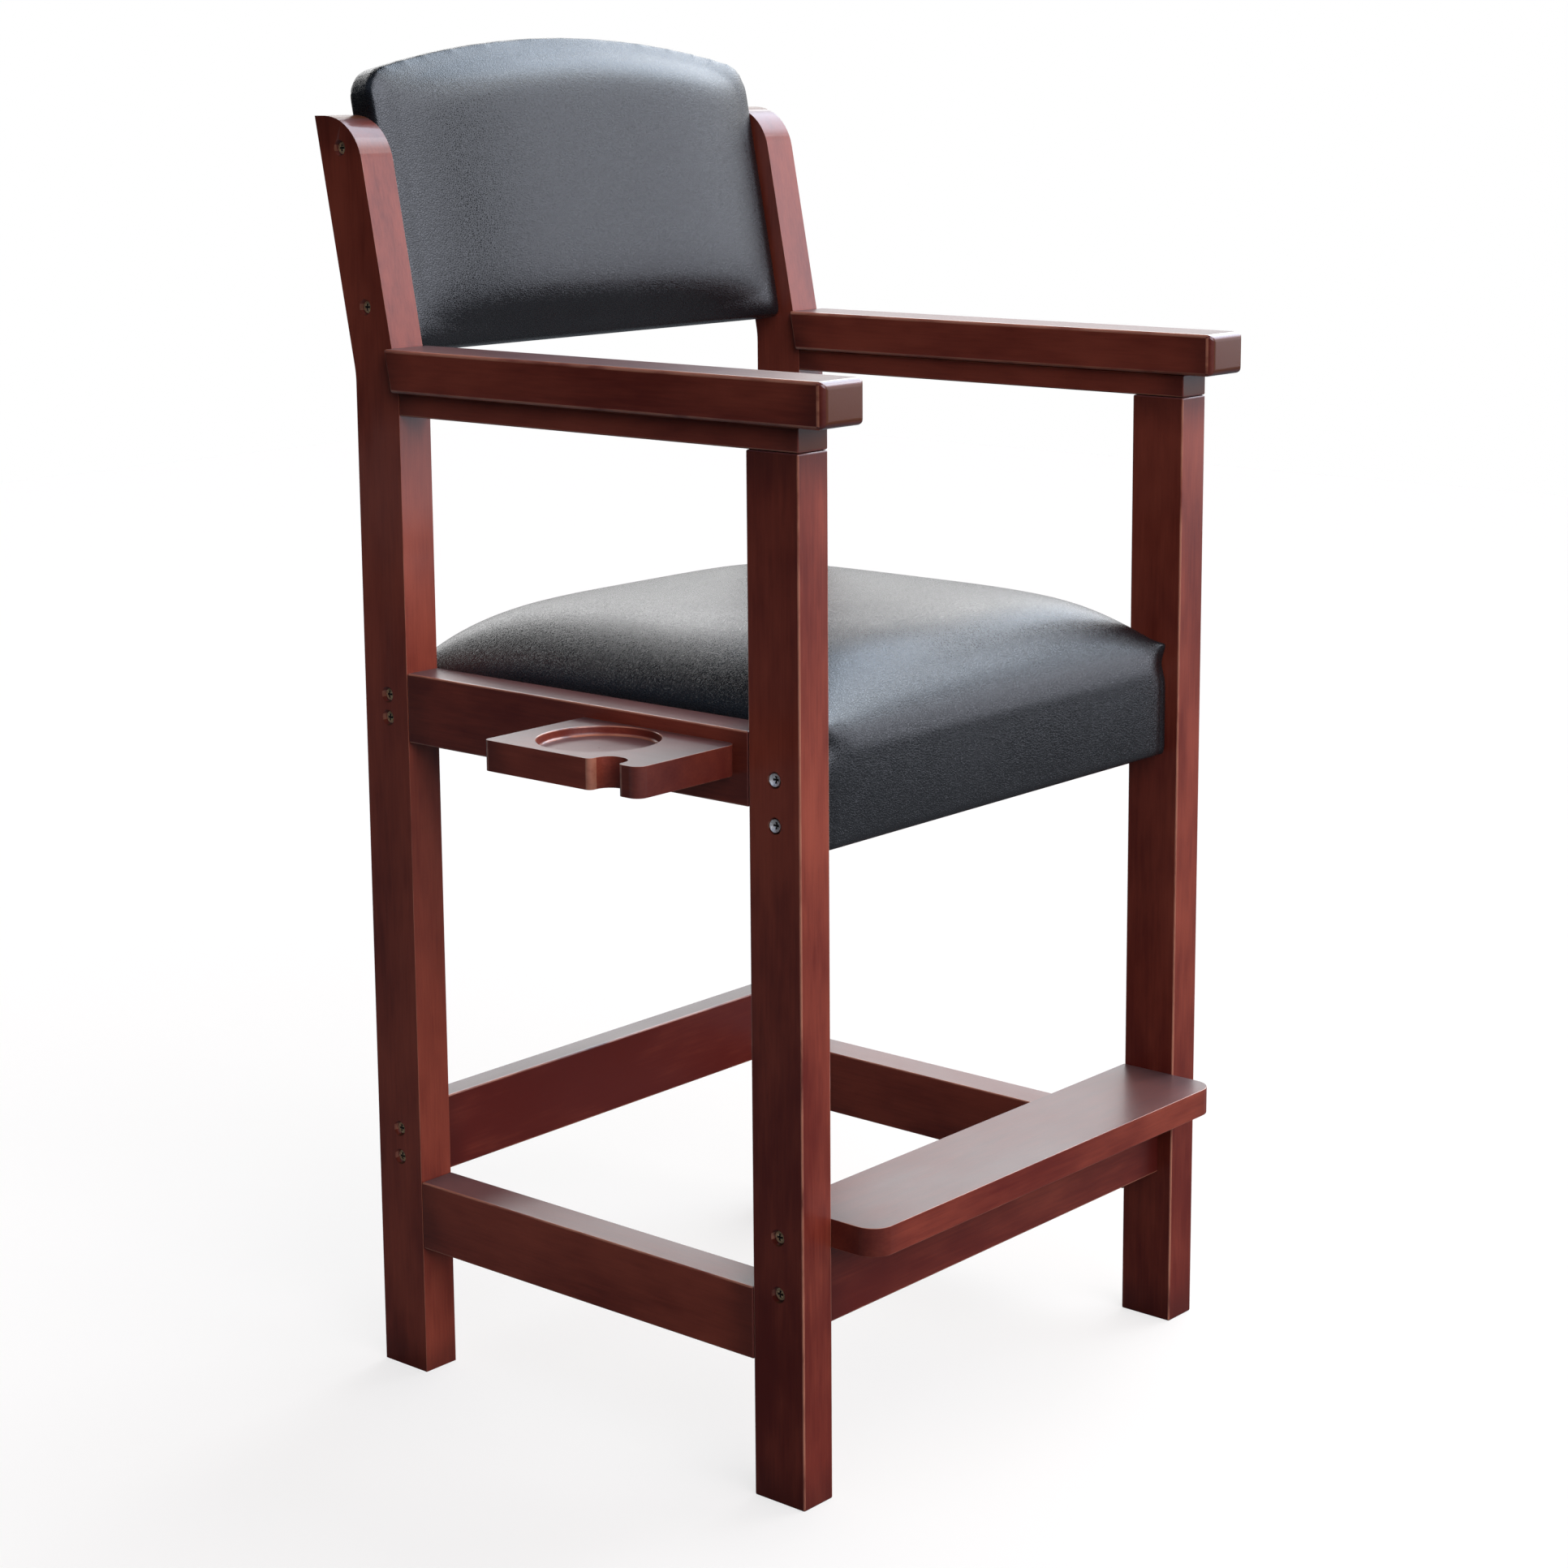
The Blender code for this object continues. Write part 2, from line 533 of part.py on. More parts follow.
def behind_posts(depth, rise=0):
    """Y and Z of a point behind the leaning front face of a post, by its rise along the post."""
    return (POST_FRONT + depth * math.cos(BACK_LEAN) + rise * math.sin(BACK_LEAN),
            POST_BEND - depth * math.sin(BACK_LEAN) + rise * math.cos(BACK_LEAN))


def arch(x, top):
    """Height of the arched top edge at a distance from the middle."""
    return top - BACK_ARCH_RADIUS + math.sqrt(BACK_ARCH_RADIUS ** 2 - x ** 2)


def back_panel(name, inset, front, rear, material, cutter=False):
    """A flat arched panel in the back, inside the pad's outline, between two depths."""
    half = CROSS_HALF - inset
    bottom = BACK_BOTTOM + inset
    top = BACK_TOP - inset
    corner = BACK_CORNER_RADIUS + 2 * BACK_WRAP
    spread = 8
    crest = [half * (1 - 2 * step / spread) for step in range(1, spread)]
    outline = filleted([
        (half, bottom, 0, 0),
        (half, arch(half, top), corner, 5),
        *[(x, arch(x, top), 0, 0) for x in crest],
        (-half, arch(half, top), corner, 5),
        (-half, bottom, 0, 0),
    ])
    return place(slab(outline, rear - front), name, material, (0, *behind_posts((front + rear) / 2)),
                 LEAN_TURN, cutter)


board_inset = BACK_WRAP + JOINT_GAP
pieces["back"] = back_panel("back_board", board_inset, BACK_BOARD_FRONT, BACK_BOARD_REAR, PLYWOOD)
back_panel("back_cover", board_inset, BACK_BOARD_REAR + JOINT_GAP, BACK_DEPTH - BACK_COVER_RECESS, VINYL)


def spread(value, half):
    """Distance from the middle of a grid line: even steps, then close ones over the rounded edge."""
    flat = half - BACK_CORNER_RADIUS
    marks = [flat * step / BACK_FLAT_STEPS for step in range(BACK_FLAT_STEPS + 1)]
    marks += [half - BACK_ROLL * (1 - math.cos(math.radians(angle))) for angle in BACK_ROLL_ANGLES]
    return math.copysign(stretch(abs(value), marks), value)


def back_shape(u, v, w):
    """Where a point of the back's box lies, in the plane of the posts."""
    x = spread(u, CROSS_HALF)
    top = arch(x, BACK_TOP)
    middle = (top + BACK_BOTTOM) / 2
    y = middle + spread(v, top - middle)
    side = (abs(x) - CROSS_HALF) / BACK_CORNER_RADIUS + 1
    crest = (y - top) / BACK_CORNER_RADIUS + 1
    inset = max(0, min(CROSS_HALF - abs(x), top - y, y - BACK_BOTTOM))
    depth = BACK_DEPTH + (w + 1) / 2 * (BACK_EDGE_DEPTH - BACK_DEPTH)
    if w > 1 - 1e-6:
        depth -= math.sqrt(BACK_ROLL ** 2 - max(0, BACK_ROLL - inset) ** 2)
        depth -= (BACK_CROWN * dome(x / (CROSS_HALF - BACK_ROLL), BACK_CROWN_FLAT, 1)
                  * dome((y - middle) / (top - middle - BACK_ROLL), BACK_CROWN_FLAT, 1))
    if side > 0 and crest > 0:
        pull = max(side, crest) / math.hypot(side, crest)
        x = math.copysign(CROSS_HALF + (side * pull - 1) * BACK_CORNER_RADIUS, x)
        y = top + (crest * pull - 1) * BACK_CORNER_RADIUS
    return x, y, -depth


back_cuts = 2 * (BACK_FLAT_STEPS + len(BACK_ROLL_ANGLES)) - 1
pad = soft_block("back_cushion", (back_cuts, back_cuts, 1), back_shape)
pad.location = (0, POST_FRONT, POST_BEND)
pad.rotation_euler = LEAN_TURN
cut(pad, back_panel("back_pocket", BACK_WRAP, BACK_BOARD_FRONT - JOINT_GAP, BACK_DEPTH + BACK_WRAP, None,
                    cutter=True))


# Fasteners
def fastener(name, head, axis_turn, out, surface, bore_depth, size, through):
    """A screw whose head sits in a counterbore, and the hole that it needs in each piece it meets.

    surface is the point where the hole starts and out the direction that it opens to.
    """
    head_diameter, head_thickness, bore_diameter = head
    diameter, length = size
    seat_depth = bore_depth - JOINT_GAP - head_thickness
    shank = diameter / 2
    tip = -head_thickness - length
    profile = [(0, 0), (head_diameter / 2, 0), (head_diameter / 2, -head_thickness),
               (shank, -head_thickness), (shank, tip + diameter), (0, tip)]
    spot = [point - direction * seat_depth for point, direction in zip(surface, out)]
    turned(name, profile, SHANK_SIDES, ZINC, spot, axis_turn)
    drill = shank + JOINT_GAP
    hole_end = -seat_depth + tip - JOINT_GAP
    hole_profile = [(0, bore_depth), (bore_diameter / 2, bore_depth), (bore_diameter / 2, -bore_depth),
                    (drill, -bore_depth), (drill, hole_end), (0, hole_end)]
    hole = turned("hole_" + name, hole_profile, BORE_SIDES, None, surface, axis_turn, cutter=True)
    for piece in through:
        cut(piece, hole)


def drill_wrap(cushion, wrap, places):
    """Holes for all the screws that pass through a cushion's thin side walls, cut in one go."""
    bm = bmesh.new()
    radius = SCREW_DIAMETER / 2 + JOINT_GAP
    for sign in (-1, 1):
        for y, z in places:
            spot = Matrix.Translation((sign * CROSS_HALF, y, z)) @ Matrix.Rotation(math.pi / 2, 4, "Y")
            bmesh.ops.create_cone(bm, cap_ends=True, segments=BORE_SIDES, radius1=radius, radius2=radius,
                                  depth=4 * wrap, matrix=spot)
    cut(cushion, place(to_mesh(bm), "holes_" + cushion.name, None, cutter=True))


FRAME_HEAD = (SCREW_HEAD_DIAMETER, SCREW_HEAD_THICKNESS, COUNTERBORE_DIAMETER)
SMALL_HEAD = (SMALL_HEAD_DIAMETER, SMALL_HEAD_THICKNESS, SMALL_BORE_DIAMETER)


def pair(middle, spacing):
    """Two places, half the spacing below and above the middle."""
    return middle - spacing / 2, middle + spacing / 2


seat_front_middle = (apron_bottom + SEAT_BOARD_TOP) / 2
seat_rear_middle = (SEAT_BOARD_BOTTOM + SEAT_BOARD_TOP) / 2
rear_stretcher_middle = REAR_STRETCHER_BOTTOM + REAR_STRETCHER_HEIGHT / 2
front_stretcher_middle = FRONT_STRETCHER_BOTTOM + FRONT_STRETCHER_HEIGHT / 2
for side, sign in (("right", -1), ("left", 1)):
    post = pieces["post", side]
    leg = pieces["leg", side]
    screws = []
    for rise in pair(BACK_BOTTOM + BACK_SCREW_LOW + BACK_SCREW_SPACING / 2, BACK_SCREW_SPACING):
        screws.append(("back", *behind_posts(BACK_BOARD_DEPTH, rise), (post, pieces["back"])))
    for z in pair(seat_rear_middle, SEAT_REAR_SCREW_SPACING):
        screws.append(("seat_rear", SEAT_REAR_BOARD_MID, z, (post, pieces["seat_rear"])))
    for z in pair(rear_stretcher_middle, STRETCHER_SCREW_SPACING):
        screws.append(("rear_stretcher", POST_MID, z, (post, pieces["rear_stretcher"])))
    for z in pair(seat_front_middle, SEAT_FRONT_SCREW_SPACING):
        screws.append(("seat_front", SEAT_FRONT_BOARD_MID, z, (leg, pieces["seat_front"])))
    screws.append(("footrest", FRONT_LEG_MID, footrest_middle, (leg, pieces["footrest"])))
    screws.append(("front_stretcher", FRONT_LEG_MID, front_stretcher_middle,
                   (leg, pieces["front_stretcher"])))
    spots = {use: [(y, z) for kind, y, z, _ in screws if kind == use] for use, *_ in screws}
    for number, (use, y, z, through) in enumerate(screws, 1):
        fastener("screw_%s_%d_%s" % (side, number, use), FRAME_HEAD, (0, sign * math.pi / 2, 0),
                 (sign, 0, 0), (sign * LEG_OUT, y, z), COUNTERBORE_DEPTH,
                 (SCREW_DIAMETER, SCREW_LENGTH), through)

    # Arm screws go up through the arm rail into the arm
    arm_rail_middle = (FRONT + POST_FRONT) / 2
    for number, y in enumerate(pair(arm_rail_middle, ARM_SCREW_SPACING), 1):
        fastener("arm_screw_%s_%d" % (side, number), SMALL_HEAD, (math.pi, 0, 0), (0, 0, -1),
                 (sign * LEG_MID, y, ARM_RAIL_BOTTOM), COUNTERBORE_DEPTH,
                 (SMALL_SCREW_DIAMETER, ARM_SCREW_LENGTH), (pieces["arm_rail", side], pieces["arm", side]))

drill_wrap(seat, SEAT_WRAP, spots["seat_rear"] + spots["seat_front"])
drill_wrap(pad, BACK_WRAP, spots["back"])

# Tray screws go out through the right seat side rail into the tray's edge
tray_mid_y = (TRAY_FRONT + TRAY_REAR) / 2
for number, y in enumerate(pair(tray_mid_y, TRAY_SCREW_SPACING), 1):
    fastener("tray_screw_%d" % number, SMALL_HEAD, (0, math.pi / 2, 0), (1, 0, 0),
             (-LEG_IN, y, tray_middle), COUNTERBORE_DEPTH, (SMALL_SCREW_DIAMETER, SMALL_SCREW_LENGTH),
             (pieces["seat_rail", "right"], tray))
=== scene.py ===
# %% [markdown]
# # A spectator chair
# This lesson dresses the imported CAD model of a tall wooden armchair: a stained hardwood frame, a black
# vinyl seat and back, a footrest and a small cup tray. The CAD gives every size and place. Blender adds
# what CAD leaves out: soft upholstery, grain, lacquer, worn edges, screw heads and light.

# %% Load the chair
import math

import bmesh
import bpy
from mathutils import Matrix, Quaternion, Vector, noise


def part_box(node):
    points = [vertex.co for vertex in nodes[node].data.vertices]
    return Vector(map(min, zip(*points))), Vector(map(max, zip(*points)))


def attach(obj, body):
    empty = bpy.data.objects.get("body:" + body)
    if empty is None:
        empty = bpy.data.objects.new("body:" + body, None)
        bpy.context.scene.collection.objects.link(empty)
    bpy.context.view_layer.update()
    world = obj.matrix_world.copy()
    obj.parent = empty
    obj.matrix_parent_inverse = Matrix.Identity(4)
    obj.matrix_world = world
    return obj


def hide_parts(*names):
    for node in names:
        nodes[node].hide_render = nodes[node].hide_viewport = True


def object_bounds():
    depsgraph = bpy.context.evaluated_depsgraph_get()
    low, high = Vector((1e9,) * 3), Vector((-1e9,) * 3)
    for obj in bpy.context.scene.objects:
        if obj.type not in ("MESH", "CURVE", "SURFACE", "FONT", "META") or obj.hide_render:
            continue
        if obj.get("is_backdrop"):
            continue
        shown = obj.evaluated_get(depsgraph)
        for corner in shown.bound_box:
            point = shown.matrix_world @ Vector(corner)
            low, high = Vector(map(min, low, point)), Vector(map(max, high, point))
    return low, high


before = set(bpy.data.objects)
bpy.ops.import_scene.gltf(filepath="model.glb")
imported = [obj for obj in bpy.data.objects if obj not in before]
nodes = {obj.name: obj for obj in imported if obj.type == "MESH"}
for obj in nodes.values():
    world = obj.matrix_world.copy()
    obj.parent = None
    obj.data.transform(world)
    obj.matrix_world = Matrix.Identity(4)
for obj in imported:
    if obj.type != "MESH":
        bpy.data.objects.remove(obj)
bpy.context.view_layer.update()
scene = bpy.context.scene
scene.view_settings.view_transform = "Standard"

# %% [markdown]
# ## Camera
# The photograph was taken from beside the chair's right front corner, with the lens level and the picture
# cropped from below the lens axis. A level camera with a large lens shift would repeat that exactly, but
# every other view keeps the shift too. So the camera tilts down a little and keeps only a small shift.

# %% Camera
SENSOR = 36                 # width, in millimetres as the lens is
LENS = 73.67
AZIMUTH = math.radians(-49.223)
ELEVATION = math.radians(10.432)
ROLL = math.radians(-0.417)
DISTANCE = 2.940
SHIFT = -0.08
AIM_ASIDE = -0.0079         # aim point, from the middle between the legs
AIM_HEIGHT = 0.6562

right_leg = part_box("front_leg_right")
left_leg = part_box("front_leg_left")
legs_middle = (right_leg[0].x + left_leg[1].x) / 2
camera = bpy.data.objects.new("camera", bpy.data.cameras.new("camera"))
scene.collection.objects.link(camera)
scene.camera = camera
camera.data.lens = LENS
camera.data.sensor_width = SENSOR
camera.data.shift_y = SHIFT
to_camera = Vector((math.sin(AZIMUTH) * math.cos(ELEVATION), -math.cos(AZIMUTH) * math.cos(ELEVATION),
                    math.sin(ELEVATION)))
camera.location = Vector((legs_middle + AIM_ASIDE, 0, AIM_HEIGHT)) + to_camera * DISTANCE
camera.rotation_mode = "QUATERNION"
camera.rotation_quaternion = (-to_camera).to_track_quat("-Z", "Y") @ Quaternion((0, 0, 1), ROLL)
print("camera at", [round(c, 3) for c in camera.location])

# %% [markdown]
# ## Shader maths as plain arithmetic
# A shader is a graph of small nodes. Wiring each one by hand hides the idea, so one small class wraps an
# output socket. Arithmetic on it adds Math nodes, and its node method adds any other kind.


# %% A wrapped socket
class Value:
    """An output socket of a shader tree."""

    def __init__(self, tree, socket=None):
        self.tree = tree
        self.socket = socket

    def node(self, kind, inputs=None, output=0, **settings):
        """Add a node: its settings first, then the values or links of its inputs. Gives one output."""
        made = self.tree.nodes.new("ShaderNode" + kind)
        for name, setting in settings.items():
            setattr(made, name, setting)
        for name, value in (inputs or {}).items():
            if isinstance(value, Value):
                self.tree.links.new(value.socket, made.inputs[name])
            else:
                made.inputs[name].default_value = value
        return Value(self.tree, made.outputs[output])

    def math(self, operation, *values):
        """Add a Math node."""
        return self.node("Math", dict(enumerate(values)), operation=operation)

    def __add__(self, other):
        return self.math("ADD", self, other)

    def __sub__(self, other):
        return self.math("SUBTRACT", self, other)

    def __rsub__(self, other):
        return self.math("SUBTRACT", other, self)

    def __mul__(self, other):
        return self.math("MULTIPLY", self, other)

    def __abs__(self):
        return self.math("ABSOLUTE", self)

    __radd__ = __add__
    __rmul__ = __mul__

    def step(self, start, end):
        """A smooth rise from 0 to 1 between two values."""
        return self.node("MapRange", {"Value": self, "From Min": start, "From Max": end},
                         interpolation_type="SMOOTHSTEP")

    def mix(self, first, second):
        """A colour between two, with this value as the share of the second."""
        return self.node("Mix", {0: self, 6: first, 7: second}, output=2, data_type="RGBA")

    def feed(self, node, name):
        """Link this value to an input of an existing node."""
        self.tree.links.new(self.socket, node.inputs[name])


# %% Helpers for materials
def new_material(name):
    """An empty material, its Principled shader and a value to start a graph from."""
    material = bpy.data.materials.new(name)
    material.use_nodes = True
    return material, material.node_tree.nodes["Principled BSDF"], Value(material.node_tree)


def constants(shader, **values):
    """Set plain numbers and colours on a shader's own sockets."""
    for name, value in values.items():
        shader.inputs[name.replace("_", " ")].default_value = value


# %% [markdown]
# ## Studio light
# The chair stands on a white sweep. Bluish sky lies high on its left, a backdrop glows behind it, low light
# comes from the left front, and a softer light from high in front. The right side, which faces the
# camera's left, gets only a little from above. Lamps could do all this, but their outlines would show in
# the lacquer. So the world carries it as soft gradients by direction, and shows plain white to the camera.

# %% World
SKY_SIDE = (0.74, -0.02, 0.67)      # where each light lies, and the cosines of its rim and its core
SKY_SPREAD = (0.85, 0.98)
SKY_LEVEL = 4.3
SKY_TINT = (0.84, 0.98, 1.16)
SHADE_SIDE = (-1, 0, 0)
SHADE_SPREAD = (0.05, 0.75)
SHADE_RISE = (0.2, 0.7)             # heights where a light starts and where it is full
SHADE_LEVEL = 0.24
SHADE_TINT = (0.72, 0.96, 1.38)
LOW_SIDE = (0.82, -0.56, 0.12)
LOW_SPREAD = (0.91, 0.985)
LOW_LEVEL = 2.25
LOW_TINT = (0.96, 1.0, 1.14)        # also that of the light in front
FRONT_SIDE = (-0.15, -0.85, 0.51)
FRONT_SPREAD = (0.77, 0.97)
FRONT_RISE = (-0.05, 0.2)
FRONT_LEVEL = 3.4
BACKDROP_SIDE = (0.76, 0.65, 0)
BACKDROP_SPREAD = (0.4, 0.9)
BACKDROP_RISE = (-0.15, 0.1)
BACKDROP_LEVEL = 0.62
BACKDROP_TOP = (0.42, 0.56)
GLOW_RISE = (0.03, 0.46)
GLOW_LEVEL = 3.6
WHITE = (1, 1, 1, 1)

world = bpy.data.worlds.new("studio")
scene.world = world
world.use_nodes = True
start = Value(world.node_tree)
direction = start.node("TexCoord", output="Generated")
rise = start.node("SeparateXYZ", {"Vector": direction}, output="Z")


def towards(side):
    """How far a direction points to one side: 1 along it and 0 square to it."""
    return start.node("VectorMath", {0: direction, 1: side}, output="Value", operation="DOT_PRODUCT")


def tinted(level, tint):
    """A level of light as a colour."""
    return start.node("VectorMath", {0: tint, "Scale": level}, output="Vector", operation="SCALE")


sky = towards(SKY_SIDE).step(*SKY_SPREAD) * SKY_LEVEL
shade_sky = towards(SHADE_SIDE).step(*SHADE_SPREAD) * rise.step(*SHADE_RISE) * SHADE_LEVEL
low_light = towards(LOW_SIDE).step(*LOW_SPREAD) * LOW_LEVEL
low_light += towards(FRONT_SIDE).step(*FRONT_SPREAD) * rise.step(*FRONT_RISE) * FRONT_LEVEL
backdrop = rise.step(*BACKDROP_RISE) * BACKDROP_LEVEL + rise.step(*GLOW_RISE) * GLOW_LEVEL
backdrop = backdrop * towards(BACKDROP_SIDE).step(*BACKDROP_SPREAD) * (1 - rise.step(*BACKDROP_TOP))
lit = tinted(backdrop, WHITE[:3])
for level, tint in ((sky, SKY_TINT), (shade_sky, SHADE_TINT), (low_light, LOW_TINT)):
    lit = start.node("VectorMath", {0: lit, 1: tinted(level, tint)}, operation="ADD")
seen = start.node("LightPath", output="Is Camera Ray")
seen.mix(lit, WHITE).feed(world.node_tree.nodes["Background"], "Color")
print("world of", len(world.node_tree.nodes), "nodes")

# %% [markdown]
# ## Floor
# The sweep is white to the camera, and a white floor under enough light would be too. That much light would
# bleach the chair, so the floor glows white to the camera and keeps only a share of its own shading, which
# holds the chair's shadow. Its own colour is a little warm, which takes the sky's blue out of the shadow.
# To the chair it is dark, because the photograph shows little light from below.

# %% Floor
FLOOR_SIZE = 12.0
FLOOR_OWN_SHADE = 0.30
FLOOR_PALE = (0.98, 0.87, 0.77, 1)
FLOOR_BOUNCE = (0.06, 0.058, 0.056, 1)      # as it lights the chair, and as it shows in gloss
FLOOR_MIRRORED = (0.12, 0.12, 0.12, 1)

bm = bmesh.new()
bmesh.ops.create_grid(bm, x_segments=1, y_segments=1, size=FLOOR_SIZE / 2)
floor = bpy.data.objects.new("floor", bpy.data.meshes.new("floor"))
bm.to_mesh(floor.data)
bm.free()
scene.collection.objects.link(floor)
floor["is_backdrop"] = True
material, shader, start = new_material("white_sweep")
material.node_tree.nodes.remove(shader)
seen = start.node("LightPath", output="Is Camera Ray")
mirrored = start.node("LightPath", output="Is Glossy Ray")
pale = start.node("BsdfDiffuse", {"Color": FLOOR_PALE})
bounce = start.node("BsdfDiffuse", {"Color": mirrored.mix(FLOOR_BOUNCE, FLOOR_MIRRORED)})
white = start.node("Emission", {"Color": WHITE, "Strength": 1.0})
shown = start.node("MixShader", {0: FLOOR_OWN_SHADE, 1: white, 2: pale})
surface = start.node("MixShader", {0: seen, 1: bounce, 2: shown})
surface.feed(material.node_tree.nodes["Material Output"], "Surface")
floor.data.materials.append(material)
print("floor", FLOOR_SIZE, "m wide")

# %% [markdown]
# ## Key light
# The world's light is so broad that it leaves hardly any shadow. One large, weak lamp, high at the chair's
# left front, gives the soft shadow on the floor and a little more shape to the cushions.

# %% Key light
KEY_PLACE = (1.67, -1.40, 3.2)
KEY_AIM_HEIGHT = 0.6
KEY_SIZE = 1.8
KEY_POWER = 25.0
KEY_COLOUR = (0.93, 0.97, 1.0)

key = bpy.data.objects.new("key_light", bpy.data.lights.new("key_light", "AREA"))
key.data.energy = KEY_POWER
key.data.size = KEY_SIZE
key.data.color = KEY_COLOUR
key.location = KEY_PLACE
key_aim = Vector((legs_middle, 0, KEY_AIM_HEIGHT)) - key.location
key.rotation_euler = key_aim.to_track_quat("-Z", "Y").to_euler()
scene.collection.objects.link(key)
print("key light", round(key_aim.length, 2), "m from the chair's middle")

# %% [markdown]
# ## Stained hardwood
# The frame is a pale, close-grained hardwood, stained a dark cherry red and lacquered. Stain takes
# unevenly, so broad blotches matter more than the grain, which is fine and runs along each piece. The stain
# is darker at the ends, where it soaks in, and thin on the eased edges, where it was rubbed. Faces that
# look up are mixed toward a dark grey, which is painted shade on the tops, and legs and posts get painted
# shade low down. One shared material would run its grain across half of the pieces, so each piece has its
# own, with its own grain direction, ends and tone, and that tone is partly painted light and shade.

# %% Colours and tones of the wood
STAIN_DARK = (0.125, 0.0125, 0.0075, 1)
STAIN_LIGHT = (0.350, 0.066, 0.034, 1)
STAIN_SOAKED = (0.050, 0.008, 0.006, 1)
STAIN_END = (0.115, 0.033, 0.012, 1)
RUBBED = (0.520, 0.190, 0.110, 1)
# Painted shade: faces that look up are mixed toward this dark grey.
TOP_SHADE = (0.085, 0.078, 0.080, 1)
# Partly each piece's own tone, partly painted light and shade: the stretchers are darkened as under the
# seat, and posts, side stretchers and arm rails lightened where their sides get little light.
TONES_AND_SHADE = {                   # how much lighter than the rest these pieces came out
    "rear_post": 0.15, "side_stretcher": 0.18, "armrest_left": 0.04, "arm_rail": 0.22, "front_leg": 0.04,
    "footrest": -0.02, "rear_stretcher": -0.42, "front_stretcher": -0.26, "seat_side_rail": -0.04,
}
COATS = {"rear_post": 0.6}  # pieces with more lacquer, from a height up
THIN_COAT = 0.04
COAT_FROM = 0.72
COAT_FULL = COAT_FROM + 0.1
# Painted shade: legs and posts get darker below this height, toward the floor.
FOOT_REACH = 0.65           # legs are darker below this height
FOOT_SHADE = 0.26
print(len(TONES_AND_SHADE), "kinds of piece with a tone of their own")

# %% Wood finish
BLOTCH = (6, 13, 3)         # noise to the metre along and across the grain, and its detail
FIGURE = (16, 70, 4)
STREAK = (22, 480, 3)
PORE = (150, 1900, 2)
PORE_EDGE = (0.60, 0.72)
NOISE_ROUGHNESS = 0.55
NOISE_MEAN = 0.5
PIECE_SHIFT = (1, 0.7, 0.4)
SOAK_REACH = 0.045          # stain soaks in so far from an end, give or take
SOAK_WANDER = 0.03
SOAK_SHARE = 0.5
FACING_UP = (0.8, 1.0)
RUBBED_FIGURE = (0.25, 0.6)
BLOTCH_TONE = 1.3           # how much each noise moves the tone, the colours and the gloss
FIGURE_TONE = 0.5
STREAK_TONE = 0.45
PORE_SOAK = 0.22
# Share of the painted shade on faces that look up, and how much the blotches move it.
TOP_SHADE_SHARE = 0.45
TOP_SHADE_BLOTCH = 0.2
END_SHARE = 0.75
END_FIGURE = 0.3
RUBBED_SHARE = 0.9
WOOD_ROUGHNESS = 0.32
BLOTCH_ROUGHNESS = 0.16
STREAK_ROUGHNESS = 0.06


